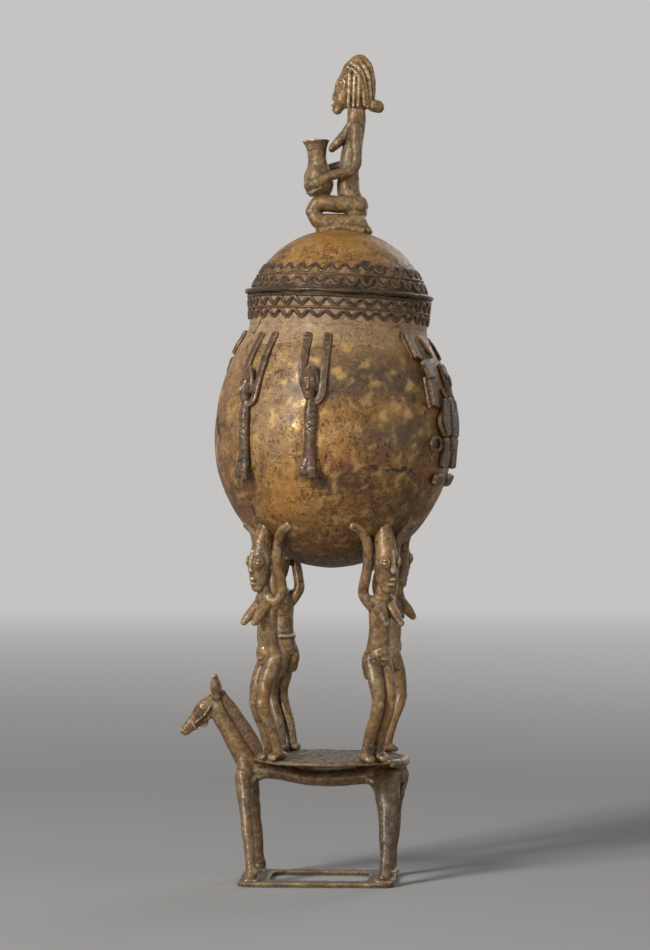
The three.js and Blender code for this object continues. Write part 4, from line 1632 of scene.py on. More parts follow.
@dataclass
class Thread:
    """A ribbon of wax laid round the collar or the lid, level or in waves."""

    name: str
    radius_at: Callable[[float], float]
    height: float
    seed: int
    swing: float = 0.0
    waves: int = 34
    half_width: float = 1.08
    half_height: float = 0.6
    per_wave: int = 14
    per_wave_level: int = 8
    uneven: float = 0.16
    uneven_per_mm: float = 0.3
    sides: int = 10

    def _middle(self, turn: float) -> Vector:
        """Middle of the ribbon at a turn, with the unevenness of a hand-laid thread.

        Args:
            turn: Angle round the axis, in radians.

        Returns:
            The middle.
        """
        ring = Vector((math.cos(turn), math.sin(turn), 0)) * 2.4
        wander = noise.noise(ring + Vector((self.seed, 0, 0))) * 0.5
        swing = self.swing * (1 + 0.3 * noise.noise(ring * 5 + Vector((0, self.seed, 0))))
        late = 0.5 * noise.noise(ring * 2 + Vector((0, 0, self.seed)))
        height = self.height + swing * math.cos(self.waves * turn + late) + wander * 0.6
        radius = self.radius_at(height) + self.half_height * 0.4
        return Vector((radius * math.cos(turn), radius * math.sin(turn), height))

    def casting(self) -> Casting:
        """Models the ribbon, in the frame of the surface that carries it.

        Returns:
            The ribbon.
        """
        steps = self.waves * (self.per_wave if self.swing else self.per_wave_level)
        bm = bmesh.new()
        ring = bmesh.ops.create_circle(bm, radius=1, segments=self.sides)["verts"]
        first = edges = list(bm.edges)
        now = Matrix.Identity(4)
        near = SMALL_STEP
        for i in range(steps):
            turn = TURN * i / steps
            middle = self._middle(turn)
            tangent = (self._middle(turn + near) - self._middle(turn - near)).normalized()
            lift = self.radius_at(middle.z + near) - self.radius_at(middle.z - near)
            out = Vector((math.cos(turn), math.sin(turn), -lift / (2 * near))).normalized()
            side = out.cross(tangent).normalized()
            place_in_noise = middle * self.uneven_per_mm + Vector((self.seed, 0, 0))
            thick = 1 + self.uneven * noise.noise(place_in_noise)
            wide, high = side * self.half_width * thick, out * self.half_height * thick
            place = framed(wide, high, tangent, middle)
            if i > 0:
                ring, edges = extruded(bm, edges)
            bmesh.ops.transform(bm, matrix=place @ now.inverted(), verts=ring)
            now = place
        bmesh.ops.bridge_loops(bm, edges=first + edges)
        bmesh.ops.recalc_face_normals(bm, faces=bm.faces)
        return Casting(f"cast_{self.name}", as_mesh(bm, self.name))

    def make(self, foundry: Foundry, place: Matrix, body: str, finish: Finish) -> None:
        """Models the ribbon and lays it on the pot or the lid.

        Args:
            foundry: Who delivers it.
            place: The frame of the surface that carries it.
            body: The CAD body that it rides on.
            finish: Its finish.
        """
        foundry.deliver(self.casting().moved(place), body, finish, self.name)


@dataclass
class Relief:
    """Wax figures laid on the pot. A point is [across, height, lift], as in the CAD model."""

    foundry: Foundry
    shape: PotShape
    voxel: float = 0.36

    def _lay(
        self,
        wax: Wax,
        bearing: float,
        path: Iterable[Point],
        radii: Sequence[Radius],
        square: float = 2.0,
        both: bool = False,
    ) -> None:
        """Lays a strap or roll on the bowl.

        Args:
            wax: The lump.
            bearing: The relief's middle line.
            path: Points of the stroke.
            radii: Its radii, first along the bowl, then out of it.
            square: How flat its sides are.
            both: Whether its mirror image is laid too.
        """
        turn = math.radians(bearing)
        across = (-math.sin(turn), math.cos(turn), 0)
        for side in (1, -1) if both else (1,):
            points = [self.shape.on_bowl(bearing, (side * a, h, lift)) for a, h, lift in path]
            wax.roll(points, radii, across=across, square=square)

    def _cast(self, wax: Wax, node: str, lines: list[list[Point]]) -> None:
        """Turns a relief into its piece.

        Args:
            wax: The relief's strokes.
            node: The CAD node that it stands for.
            lines: Its grooves, in the pot's frame.
        """
        place = self.shape.place
        casting = wax.placed(place).skin(f"cast_{node}", self.voxel)
        casting.waver(5.0, 0.22, len(node)).waver(1.8, 0.05, 21)
        grooves = [[tuple(place @ Vector(p)) for p in line] for line in lines]
        casting.incise(grooves, width=0.3, depth=0.34)
        casting.pressed(self.shape.press_on_bowl)
        finish = Finish.DARK_RELIEF if "crouching" in node else Finish.RELIEF
        self.foundry.deliver(casting, STAND, finish, node)

    def small(self, number: int, bearing: float, drop: float) -> None:
        """A small figure: long raised arms, a hooded head, a trunk that tapers to jutting feet.

        Args:
            number: Its number.
            bearing: Its middle line.
            drop: How much lower its body hangs than the others'.
        """
        wax = Wax()
        top = self.shape.shoulder(self.shape.collar_foot) - 2.6

        def lay(path: Iterable[Point], radii: Sequence[Radius], square: float = 2.0) -> None:
            """Lays one stroke, lowered with the body."""
            self._lay(wax, bearing, lowered(path), radii, square)

        def lowered(path: Iterable[Point]) -> list[Point]:
            """A path with its body end lowered and its top where it was."""
            return [(a, h - drop * min(1.0, max(0.0, (top - h) / 20)), lift) for a, h, lift in path]

        left = [(-3.2, 85, 0.6), (-6.2, 93, 0.6), (-7, 103, 0.5), (-7.4, top, 0.4)]
        right = [(0.6, 80, 1.2), (4, 83.6, 1), (4.8, 92, 0.7), (4.9, 104, 0.6), (5, top, 0.5)]
        lay(left, [(1.6, 1.3), (1.9, 1.4), (2, 1.4), (2.1, 1.2)], 4.0)
        lay(right, [(1.3, 1.2), (1.9, 1.5), (1.9, 1.4), (2, 1.4), (2.1, 1.2)], 4.0)
        head = [(-1.6, 84.2, 2.0), (-1.7, 89.6, 2.8), (-1.7, 95.8, 1.8)]
        lay(head, [(2.8, 2.4), (3.4, 2.9), (3.1, 2.5)])
        hood = [(-4.9, 87, 1.8), (-5, 92.6, 2.4), (-1.7, 98, 3), (1.6, 92.6, 2.4), (1.5, 87, 1.8)]
        lay(hood, [0.8, 1.0, 1.2, 1.0, 0.8])
        lay([(-1.7, 90, 5.2), (-1.7, 87.2, 5.4)], [0.6, 0.8])
        for across in (-3.3, -0.1):
            lay([(across, 91.2, 4.6), (across, 91, 4.8)], [1, 0.9])
        trunk = [(-0.8, 82.4, 1.2), (-0.4, 76, 1.6), (0, 68, 1.5), (0.2, 59, 1.4), (0, 51, 2.2)]
        lay(trunk, [(2.5, 1.8), (3, 2.4), (2.8, 2.1), (3, 2.2), (3.4, 2.4)])
        lay([(0, 54, 2), (-0.3, 48.8, 4.2)], [(3.4, 2), (4.4, 1.9)], 3.0)
        for across in (-2.2, 1.8):
            lay([(across, 50.4, 4.4), (across * 1.1, 47.4, 5)], [(1.9, 1.4), (2.1, 1.3)])
        lines = [[(a - 2, h, 1.8), (a + 2, h, 1.8)] for a in (-7.4, 5) for h in (top - 1, top - 2.8)]
        lines += [[(-3, h + 3.4, 2.6), (0, h + 1.7, 3.8), (3, h, 2.6)] for h in (75, 71.8, 68.6, 65.4)]
        lines += [[(-3, h, 2.6), (0, h + 1.7, 3.8), (3, h + 3.4, 2.6)] for h in (74, 70.6, 67.2)]
        lines += [[(a - 0.9, 91.1, 5.6), (a + 0.9, 91.1, 5.6)] for a in (-3.3, -0.1)]
        lines += [[(-0.2, 54, 4.2), (-0.2, 50, 6), (-0.2, 46, 6.4)]]
        lines += [[(-2.6, 85.6, 4.6), (-0.8, 85.6, 4.8)]]
        place = [[self.shape.on_bowl(bearing, p) for p in lowered(line)] for line in lines]
        self._cast(wax, f"small_relief_{number}", place)

    def crouching(self, number: int, bearing: float) -> None:
        """A larger angular figure in stepped flat straps: raised arms, spread knees, feet.

        Args:
            number: Its number in the node's name.
            bearing: Its bearing on the bowl, in degrees.
        """
        wax = Wax()
        top = self.shape.shoulder(self.shape.collar_foot) - 1.2
        straps = (
            ([(26.4, top, 0.2), (25.4, 104.6, 0.4)], [(8.2, 1.2), (8.6, 1.3)]),
            ([(21.4, 103.6, 0.5), (19.2, 96.4, 1.1)], [(9.6, 1.3), (9.4, 1.3)]),
            ([(18, 94.4, 0.1), (18, 82, 0.3)], [(9.4, 1.3), (9.2, 1.3)]),
            ([(8.6, 84, 0.7), (10.4, 76, 0.7), (9.4, 69, 0.7)], [(6.2, 1.6), (8.6, 1.6), (6, 1.6)]),
            ([(10.8, 66, 0.8), (11.2, 53.4, 0.9)], [(4.4, 1.5), (5, 1.5)]),
            ([(13.2, 48, 0.7), (13.6, 44.4, 0.6)], [(7.6, 1.6), (7.8, 1.4)]),
        )
        for path, radii in straps:
            self._lay(wax, bearing, path, radii, 6.0, True)
        bars = (
            [(34, top, 0.5), (32.2, 105.4, 0.8)],
            [(17.4, top, 0.6), (14.6, 111.6, 0.9), (12.4, 106, 1.1)],
            [(26.8, 95, 0.9), (26.8, 81.4, 1.1)],
            [(10.9, 90, 1), (8.9, 84, 1.7), (15.6, 79.4, 1.7), (19.4, 75, 1.6), (15.4, 68.4, 1.5)],
        )
        for path in bars:
            self._lay(wax, bearing, path, [(1.3, 1)] * len(path), 3.0, True)
        loop = [
            (21.4 + 4.2 * math.cos(TURN * i / 8), 63.6 + 3.2 * math.sin(TURN * i / 8), 0.9)
            for i in range(9)
        ]
        self._lay(wax, bearing, loop, [(1.2, 1.1)] * 9, 2, True)
        self._lay(wax, bearing, [(21.4, 65, 0.1), (21.4, 62.2, 0.1)], [(3.8, 0.9)] * 2, 2, True)
        trunk = [(0, 62, 0.6), (0, 74, 0.8), (0, 86, 0.6)]
        self._lay(wax, bearing, trunk, [(4.8, 1.6), (5.6, 1.8), (4.6, 1.6)], 4.0)
        head = [(0, 88, 0.8), (0, 95, 1), (0, 102, 0.6)]
        self._lay(wax, bearing, head, [(3.6, 1.6), (4.9, 1.9), (4, 1.5)])
        self._lay(wax, bearing, [(0, 96, 2.6), (0, 92.6, 2.9)], [0.8, 1])
        self._lay(wax, bearing, [(1.9, 96.4, 2.6), (2.5, 96.4, 2.5)], [1.1, 1.0], 2, True)
        high = top - 1
        lines = [[(s * 22, high, 1.4), (s * 20, high - 9, 1.6)] for s in (-1, 1)]
        lines += [[(s * 29, 104, 1.6), (s * 12, 104, 1.6)] for s in (-1, 1)]
        lines += [[(s * 9, 50.6, 2.2), (s * 18, 50.2, 2)] for s in (-1, 1)]
        lines += [[(-5, h, 2), (0, h - 1.4, 2.6), (5, h, 2)] for h in (68, 72, 76, 80)]
        place = [[self.shape.on_bowl(bearing, p) for p in line] for line in lines]
        self._cast(wax, f"crouching_relief_{number}", place)


@dataclass
class Pot:
    """Bowl, collar, threads and reliefs."""

    foundry: Foundry
    shape: PotShape
    small_reliefs: tuple[tuple[float, float], ...] = ((-133, 2.4), (-98, 0.4), (47, 1.0), (82, 0.0))
    crouching_bearings: tuple[float, ...] = (-10, 135)
    swing: float = 1.6
    sides: int = 300

    def _bowl(self) -> None:
        """Models the bowl."""
        shape = self.shape
        inner = shape.neck_radius - shape.neck_wall
        outside = shape.bowl_line(shape.shoulder(shape.neck_radius), 0, 130)
        neck = [outside[-1], (shape.neck_radius, shape.neck_height), (inner, shape.neck_height)]
        inside = shape.bowl_line(shape.shoulder(inner + shape.wall), -shape.wall, 40)
        profile = outside[:-1] + refined(neck, 2.0) + inside[::-1]
        casting = turned("cast_pot_bowl", profile, self.sides).moved(shape.place)
        casting.waver(26.0, 0.5, 31).waver(9.0, 0.22, 32).waver(3.0, 0.07, 33)
        self.foundry.deliver(casting, STAND, Finish.OCHRE, "pot_bowl")

    def _collar(self) -> None:
        """Models the collar."""
        shape = self.shape
        inner = shape.neck_radius + 0.1
        spread = [(0.1, 3.4), (0.5, 1.8), (1.3, 0.75), (2.4, 0.25), (3.6, 0.0), (4.4, -0.5)]
        fillet = [
            (shape.collar_foot + out, shape.shoulder(shape.collar_foot + out) + up)
            for out, up in spread
        ]
        profile = [
            (inner, shape.shoulder(inner) - 0.6),
            *fillet[::-1],
            (shape.collar_mouth - 0.3, shape.neck_height - 0.6),
            (shape.collar_mouth - 0.9, shape.neck_height),
            (inner, shape.neck_height),
            (inner, shape.shoulder(inner) - 0.6),
        ]
        casting = turned("cast_pot_collar", refined(profile, 0.8), self.sides).moved(shape.place)
        casting.waver(14.0, 0.25, 34).waver(3.5, 0.1, 35)
        self.foundry.deliver(casting, STAND, Finish.WORN, "pot_collar")

    def make(self) -> None:
        """Models the pot."""
        self._bowl()
        self._collar()
        rim = self.shape.neck_height
        radius_at = self.shape.collar_radius
        threads = [
            Thread("collar_lip_thread", radius_at, rim - 0.9, 41, half_width=0.75),
            Thread("collar_upper_wave", radius_at, rim - 3.8, 42, self.swing),
            Thread("collar_middle_thread", radius_at, rim - 6.8, 43, half_width=0.7),
            Thread("collar_lower_wave", radius_at, rim - 9.8, 44, self.swing),
        ]
        for thread in threads:
            finish = Finish.LIP if "lip" in thread.name else Finish.DARK
            thread.make(self.foundry, self.shape.place, STAND, finish)
        relief = Relief(self.foundry, self.shape)
        for number, (bearing, drop) in enumerate(self.small_reliefs, 1):
            relief.small(number, bearing, drop)
        for number, bearing in enumerate(self.crouching_bearings, 1):
            relief.crouching(number, bearing)


# Standing women

BEARINGS = {"back_right": 43.5, "back_left": 132.5, "front_left": 219, "front_right": 309}
BELTED = "back_left"


@dataclass
class StandingWoman:
    """A woman who carries the pot. A point is [out, side, up] from her ankles."""

    foundry: Foundry
    node: str
    bearing: float
    seed: int
    shape: PotShape
    plate: SupportPlate
    ring: float = 35.0
    lean: float = math.radians(0.8)
    belted: bool = False
    voxel: float = 0.4

    @property
    def place(self) -> Matrix:
        """Place of her own frame on the plate.

        Returns:
            The place.
        """
        lean = Matrix.Identity(4)
        lean[0][2] = math.tan(self.lean)
        stand = Matrix.Translation((self.plate.x, 0, self.plate.top))
        turn = Matrix.Rotation(math.radians(self.bearing), 4, "Z")
        return stand @ lean @ turn @ Matrix.Translation((self.ring, 0, 0))

    def _body(self, wax: Wax) -> None:
        """Legs, trunk, breasts and the small apron at the loins.

        Args:
            wax: The lump.
        """
        foot = [(-3, 3.8, 2.4), (0.5, 4.1, 2.6), (3.9, 4.4, 1.6)]
        wax.pair(foot, [(2.6, 2.3), (3, 2.8), (2.9, 1.8)])
        leg = [(-0.6, 3.6, 4), (2.6, 3.3, 14), (8.4, 3.4, 28), (6.6, 3.5, 40), (2, 3.5, 50)]
        wax.pair(leg, [2.6, 3, 3.1, 3.9, 4.4])
        wax.pair([(9, 3.5, 31), (10, 3.5, 28.4), (8.6, 3.4, 25.6)], [2.1, 2.3, 2])
        wax.pair([(1.6, 3.2, 52), (0.4, 3.2, 48), (0.8, 3.4, 43)], [3.8, 3.7, 3.1])
        trunk = [(2.4, 0, 51), (3.8, 0, 58), (4.6, 0, 67), (5, 0, 76), (6.8, 0, 83), (8.4, 0, 92)]
        radii = [(7, 5.6), (5.9, 5.2), (5.6, 5), (6.5, 4.7), (3.6, 3.6), (3.1, 3.1)]
        wax.roll(trunk, radii, sides=24)
        wax.roll([(4.6, 0, 58), (5.6, 0, 53), (5.4, 0, 49.6)], [(4.4, 4), (5.2, 4.2), (4.6, 3.2)])
        if self.belted:
            wax.ring((3.8, 0, 58.6), (5, 0, 0), (0, 5.7, 0), 1.2)
        breast = [(6.4, 2.6, 78.6), (11.5, 3.7, 72.5), (15.3, 4.5, 68.3)]
        wax.pair(breast, [(3.4, 2.8), 2.7, 1.9])
        wax.roll([(8.4, 0, 55.6), (9, 0, 50.6)], [(3.4, 1), (2.4, 0.9)])

    def _arms(self, wax: Wax) -> None:
        """Raised arms, whose hands hook outwards along the pot.

        Args:
            wax: The lump.
        """
        upper = [(4.5, 3.4, 74.6), (1.8, 8, 82), (4.6, 8.2, 96)]
        hand = [(5.2, 9, 107.4), (5.2, 12.6, 113.2), (5.4, 18, 116.4)]
        wax.pair([*upper, *hand], [3, 2.7, 2.6, 2.5, 2.4, (2.8, 1.9)])
        wax.pair([(6.4, 3, 80), (4.4, 6.2, 78.4), (1.8, 8.2, 82.6)], [3, 2.8, 2.4])

    def _head(self, wax: Wax) -> None:
        """Long head with pellet eyes, wedge nose and protruding lips.

        Args:
            wax: The lump.
        """
        head = [(11, 0, 85.5), (9.4, 0, 90.5), (8.6, 0, 98), (7.4, 0, 106), (5.8, 0, 116)]
        wax.roll(head, [(3.2, 2.8), (5, 5.6), (6, 6.8), (5.4, 6), (4.1, 4.4)], sides=26)
        wax.eyes((13.3, 4, 98), (1.8, 2.1, 2.3), math.radians(50), 0.28)
        wax.roll([(14.2, 0, 103), (14.9, 0, 97), (15.2, 0, 93.4)], [0.9, 1.1, (1.7, 1.2)])
        for up, out in ((89.5, 14.5), (87.2, 14)):
            lip = [(out - 1.7, -2.2, up), (out, 0, up), (out - 1.7, 2.2, up)]
            wax.roll(lip, [0.75, 1.05, 0.75], across=(0, 0, 1), sides=12)
        wax.pair([(6.6, 5.6, 100.4), (5.4, 6.2, 97.4), (6.4, 5.6, 94.6)], [0.8, 1.0, 0.7])
        wax.roll([(6.4, 0, 113), (1.6, 0, 107), (1.2, 0, 99)], [2.4, 2.6, 2.0])

    def _grooves(self) -> list[list[Point]]:
        """Slits of the eyes and their sockets, fingers and toes.

        Returns:
            The grooves' paths.
        """
        lines: list[list[Point]] = []
        for s in (1, -1):
            lines.append([(15.7, s * 4, 98), (14.5, s * 5.2, 98.1), (13, s * 6.3, 98)])
            for k in (-1.2, 0, 1.2):
                lines.append([(4, s * (4.5 + k), 3.6), (6.4, s * (4.8 + k), 1.2)])
                lines.append([(6.6 + k, s * 13.6, 112.6), (6.8 + k, s * 17.6, 114.6)])
            lines.append([(6, s * 6.6, 79.6), (2.4, s * 10, 79), (0.4, s * 8.6, 80)])
            lines.append([(6.4, s * 6.4, 78), (3.4, s * 9.4, 76.8), (1.2, s * 7.6, 78)])
        lines.append([(8, -5, 57.2), (10, 0, 55.8), (8, 5, 57.2)])
        return lines

    def make(self) -> None:
        """Models the woman."""
        wax = Wax()
        self._body(wax)
        self._arms(wax)
        self._head(wax)
        casting = wax.skin(f"cast_{self.node}", self.voxel)
        casting.incise(self._grooves(), width=0.32, depth=0.4)
        casting.moved(self.place)
        casting.waver(6.0, 0.3, self.seed).waver(2.2, 0.05, self.seed + 1)
        floor = self.plate.top - 0.6
        casting.pressed(lambda p: np.maximum(p, (-np.inf, -np.inf, floor)))
        casting.pressed(self.shape.press_on_bowl)
        self.foundry.deliver(casting, STAND, Finish.BARE, self.node)


# Lid


@dataclass
class Lid:
    """Dome, inner ring, threads, kneeling woman and her vessel."""

    foundry: Foundry
    shape: PotShape
    flange_depth: float = 8.0
    flange_wall: float = 1.7
    flange_clearance: float = 0.6
    flange_ledge: float = 5.0
    lip_radius: float = 1.3
    swing: float = 1.6
    vessel_x: float = -12.1
    vessel_rise: float = 16.4
    vessel_height: float = 27.6
    vessel_lean: float = math.radians(6)
    far_hand_rise: float = 6.0
    sides: int = 280
    voxel: float = 0.36

    def _dome(self) -> None:
        """Models the dome."""
        shape = self.shape
        steps = 70
        lines = []
        for grow in (-shape.dome_wall, 0.0):
            radius = shape.dome_radius + grow
            start = math.asin(shape.dome_sink / radius)
            angles = [start + (math.pi / 2 - start) * i / steps for i in range(steps + 1)]
            line = [(radius * math.cos(a), radius * math.sin(a) - shape.dome_sink) for a in angles]
            line[-1] = (0.0, line[-1][1])
            lines.append(line)
        rim = refined([lines[0][0], lines[1][0]], 0.8)
        profile = lines[0][::-1] + rim[1:-1] + lines[1]
        casting = turned("cast_lid_dome", profile, self.sides).moved(shape.lid_place)
        casting.waver(20.0, 0.4, 51).waver(7.0, 0.2, 52).waver(2.6, 0.07, 53)
        self.foundry.deliver(casting, LID, Finish.OCHRE, "lid_dome")

    def _flange(self) -> None:
        """Models the ring inside the rim."""
        shape = self.shape
        outer = shape.neck_radius - shape.neck_wall - self.flange_clearance
        inner = outer - self.flange_wall
        gap = shape.dome_wall + 0.1
        soft = 0.4
        profile = [
            (inner, -self.flange_depth + soft),
            (inner + soft, -self.flange_depth),
            (outer - soft, -self.flange_depth),
            (outer, -self.flange_depth + soft),
            (outer, shape.seat),
            (shape.dome_at(shape.seat) - gap, shape.seat),
            (shape.dome_at(self.flange_ledge) - gap, self.flange_ledge),
            (inner, self.flange_ledge),
            (inner, -self.flange_depth + soft),
        ]
        casting = turned("cast_lid_flange", refined(profile, 1.0), self.sides).moved(shape.lid_place)
        casting.waver(12.0, 0.14, 54).waver(3.0, 0.07, 55)
        self.foundry.deliver(casting, LID, Finish.GREY, "lid_flange")

    def _lip(self) -> None:
        """Models the bead round the rim."""
        reach = self.shape.dome_at(self.lip_radius) + self.lip_radius + 0.15
        turns = [TURN * i / 16 for i in range(17)]
        profile = [
            (reach + self.lip_radius * math.cos(t), self.lip_radius * (1 + 0.92 * math.sin(t)))
            for t in turns
        ]
        casting = turned("cast_lid_lip", profile, self.sides).moved(self.shape.lid_place)
        casting.waver(10.0, 0.3, 56).waver(2.6, 0.16, 57)
        self.foundry.deliver(casting, LID, Finish.LIP, "lid_lip")

    def _vessel(self) -> None:
        """Models the waisted vessel with its dished mouth."""
        height = self.vessel_height
        belly = [(4.8, 0), (5.9, 0.05), (6.9, 0.13), (7.3, 0.23), (7.3, 0.33), (6.6, 0.43)]
        neck = [(5.4, 0.53), (4.8, 0.62), (4.75, 0.72), (5, 0.82), (5.7, 0.92)]
        mouth = [(6.7, 1), (5.7, 1), (3.6, 0.88)]
        outline = [(radius, height * share) for radius, share in belly + neck + mouth]
        line = Centreline([(r, 0, z) for r, z in outline])
        smooth = [line.at(i / 60) for i in range(61)]
        wall = [(max(p.x, 0.2), p.z) for p in smooth]
        profile = [(0, 0), *wall, (0, height * 0.86)]
        casting = turned("cast_offering_vessel", refined(profile, 0.5), 110)
        turns = [TURN * i / 40 for i in range(41)]
        rings = [
            [(r * math.cos(t), r * math.sin(t), height * share) for t in turns]
            for r, share in ((5, 0.82), (7.3, 0.28))
        ]
        casting.incise(rings, width=0.35, depth=0.16)
        casting.moved(Matrix.Rotation(-self.vessel_lean, 4, "Y"))
        casting.moved(Matrix.Translation((self.vessel_x, 0, self.shape.dome_top + self.vessel_rise)))
        casting.moved(self.shape.lid_place)
        casting.waver(6.0, 0.35, 58).waver(2.0, 0.12, 59)
        self.foundry.deliver(casting, LID, Finish.VESSEL, "offering_vessel")

    def _kneeler(self) -> None:
        """Models the kneeling woman. A point is [x, side, up] from the top of the dome."""
        wax = Wax()
        reach = 8.4
        thigh = [(8, 3.6, 12.6), (-3, 4.6, 12.5), (-12, 5, 12.2), (-15, 5, 8.2)]
        wax.pair(thigh, [4.2, 4, 4, 3.6])
        shin = [(-15, 5, 8.2), (-11.6, 5, 3.8), (-1, 4.6, 3.4), (8, 4.2, 4)]
        wax.pair(shin, [3.5, 4, 4, 3.9])
        wax.pair([(5.4, 3.8, 5.4), (8.4, 3.9, 3.6), (12.8, 3.8, 0)], [3.6, 3.9, (3.3, 2.1)])
        wax.roll([(-10, 0, -0.4), (0, 0, 0.4), (8, 0, -0.6)], [(7, 3.6), (8.6, 3.8), (8, 3.6)])
        wax.pair([(-9, 4.6, -0.4), (0, 4.6, 0.6), (9, 4.2, -0.6)], [(3.4, 3.2), (4.2, 3.6), (4.1, 3.4)])
        wax.balls((8.4, 3.6, 12.6), (4.0, 4.0, 4.2))
        trunk = [(6, 0, 9), (2.2, 0, 20), (2.2, 0, 31), (3.4, 0, 42), (4.4, 0, 50)]
        trunk += [(4.8, 0, 57), (3.6, 0, 66)]
        radii = [(6.8, 6), (5.8, 5.8), (4.8, 5), (5.2, 5), (5.8, 4.8), (4, 4.6), (3.7, 4.4)]
        wax.roll(trunk, radii, sides=24)
        wax.pair([(2.2, 2, 52), (-2.6, 3, 44.6), (-7, 3.4, 40.2)], [(2.8, 2.4), 2.5, 1.7])
        upper = [(4.8, 4.2, 50.6), (5.2, 6.2, 44), (5.2, 7.4, 30.4)]
        near = [(-6, reach, 25.8), (-14.2, reach, 21.6), (-18.2, 5.4, 20)]
        far = [(-6.5, reach, 31.6), (-14.4, reach, 28), (-18.4, 5.4, 26.4)]
        radii = [2.9, 2.8, 2.7, 2.4, (2.2, 2.6), (1.6, 2.2)]
        wax.roll(mirrored([*upper, *near]), radii)
        wax.roll([*upper[:2], (3, 7.6, 35), *far], radii)
        fingers = [(-11.2, 8.8, 19.8), (-15, 8.2, 17.8), (-18, 5.6, 17)]
        wax.roll(mirrored(fingers), [0.9, 1.1, 0.9])
        wax.roll([(x, y, z + self.far_hand_rise) for x, y, z in fingers], [0.9, 1.1, 0.9])
        self._kneeler_head(wax)
        place = self.shape.crown_place
        casting = wax.placed(place).skin("cast_kneeling_woman", self.voxel)
        lines = self._kneeler_grooves(reach)
        grooves = [[tuple(place @ Vector(p)) for p in line] for line in lines]
        casting.incise(grooves, width=0.32, depth=0.24)
        casting.waver(5.0, 0.35, 61).waver(1.8, 0.12, 62)
        casting.pressed(lambda p: self.shape.press_on_dome(p, 1.5))
        self.foundry.deliver(casting, LID, Finish.BARE, "kneeling_woman")

    def _kneeler_head(self, wax: Wax) -> None:
        """Head with long ridges of hair that end in a knot, and tresses at the sides.

        Args:
            wax: The lump.
        """
        head = [(-4.8, 0, 59.6), (-2.8, 0, 64.4), (0, 0, 71.5), (2.6, 0, 78.4), (4.6, 0, 83.6)]
        wax.roll(head, [(2.9, 2.4), (4.4, 4.5), (5.2, 6.3), (4.8, 6.2), (3.2, 4)], sides=26)
        crest = [(-1, 0, 81.4), (4.8, 0, 86), (9.2, 0, 83.2)]
        crest += [(11.3, 0, 77.6), (11.8, 0, 71), (11.8, 0, 63)]
        wax.roll(crest, [(1.7, 1.7), (2, 1.9), (2, 1.9), (2, 1.9), (2, 1.9), (1.9, 1.8)])
        hair = [(3.4, 0, 79), (7.6, 0, 76), (9.2, 0, 69), (9.8, 0, 62.4)]
        wax.roll(hair, [(3.6, 3), (3.8, 3.2), (3.4, 2.8), (2.4, 2)])
        ridges = (
            [(2.4, 1.8, 84.4), (7.2, 2.4, 81.6), (9.7, 2.6, 77), (10.9, 2.5, 70), (11.4, 1.9, 61.8)],
            [(1.2, 3.1, 82.8), (5.3, 3.7, 79.8), (7.7, 4, 75), (9.1, 3.7, 68.4), (10.1, 2.9, 61.5)],
            [(-0.4, 4.1, 80.6), (3.2, 4.8, 78.4), (6.2, 4.9, 73.8), (7.8, 4.5, 68), (8.8, 3.3, 62)],
        )
        for ridge in ridges:
            wax.pair(ridge, [0.9, 1.15, 1.2, 1.15, 0.9])
        for x in (0.4, 3, 5.2):
            wax.pair([(x, 4, 79.6), (x + 0.4, 5.3, 71), (x + 0.2, 4.5, 61.4)], [1.0, 1.25, 0.9])
        wax.roll([(12.8, 0, 62.4), (15.2, 0, 62)], [3.3, 3.2])
        wax.eyes((-3.2, 4.0, 72.2), (1.3, 1.9, 2.1), math.radians(120), 0.42)
        wax.roll([(-5.1, 0, 74.8), (-6.6, 0, 68.4), (-7.1, 0, 65.6)], [0.8, 0.9, (1.4, 1.1)])
        for up, out in ((61.7, -7.7), (59.6, -7.4)):
            lip = [(out + 1.6, -1.7, up), (out, 0, up), (out + 1.6, 1.7, up)]
            wax.roll(lip, [0.6, 0.8, 0.6], across=(0, 0, 1), sides=12)

    def _kneeler_grooves(self, reach: float) -> list[list[Point]]:
        """Eyes, mouth, fingers, toes and the band on the upper arm.

        Args:
            reach: How far out to the side her hands are.

        Returns:
            The grooves' paths.
        """
        lines: list[list[Point]] = []
        for s in (1, -1):
            lift = (s > 0) * self.far_hand_rise
            lines.append([(-5.5, s * 4.3, 72.2), (-4, s * 5.3, 72.3), (-2.4, s * 6.1, 72.2)])
            for k in range(2):
                start = (-15.4, s * (reach + 1), 20 + k * 1.8 + lift)
                lines.append([start, (-19.2, s * 6.8, 18.8 + k * 1.8 + lift)])
            for k in (-1.2, 0, 1.2):
                lines.append([(10.4, s * (3.8 + k), 3.6), (15.4, s * (3.8 + k), 0.4)])
            lines.append([(2, s * 8.6, 47.6), (5, s * 9.4, 47.4), (8, s * 7, 47.6)])
            lines.append([(2, s * 8.8, 46.2), (5, s * 9.6, 46), (8, s * 7.2, 46.2)])
        return lines + [[(-5.6, 0, 60.6), (-8.6, 0, 60.6)]]

    def make(self) -> None:
        """Models the lid."""
        self._dome()
        self._flange()
        self._lip()
        radius_at = self.shape.dome_at
        threads = [
            Thread("lid_lower_wave", radius_at, 6.2, 63, self.swing),
            Thread("lid_middle_thread", radius_at, 9.5, 64, half_width=0.7),
            Thread("lid_upper_wave", radius_at, 12.8, 65, self.swing),
        ]
        for thread in threads:
            thread.make(self.foundry, self.shape.lid_place, LID, Finish.DARK)
        self._kneeler()
        self._vessel()


# Studio


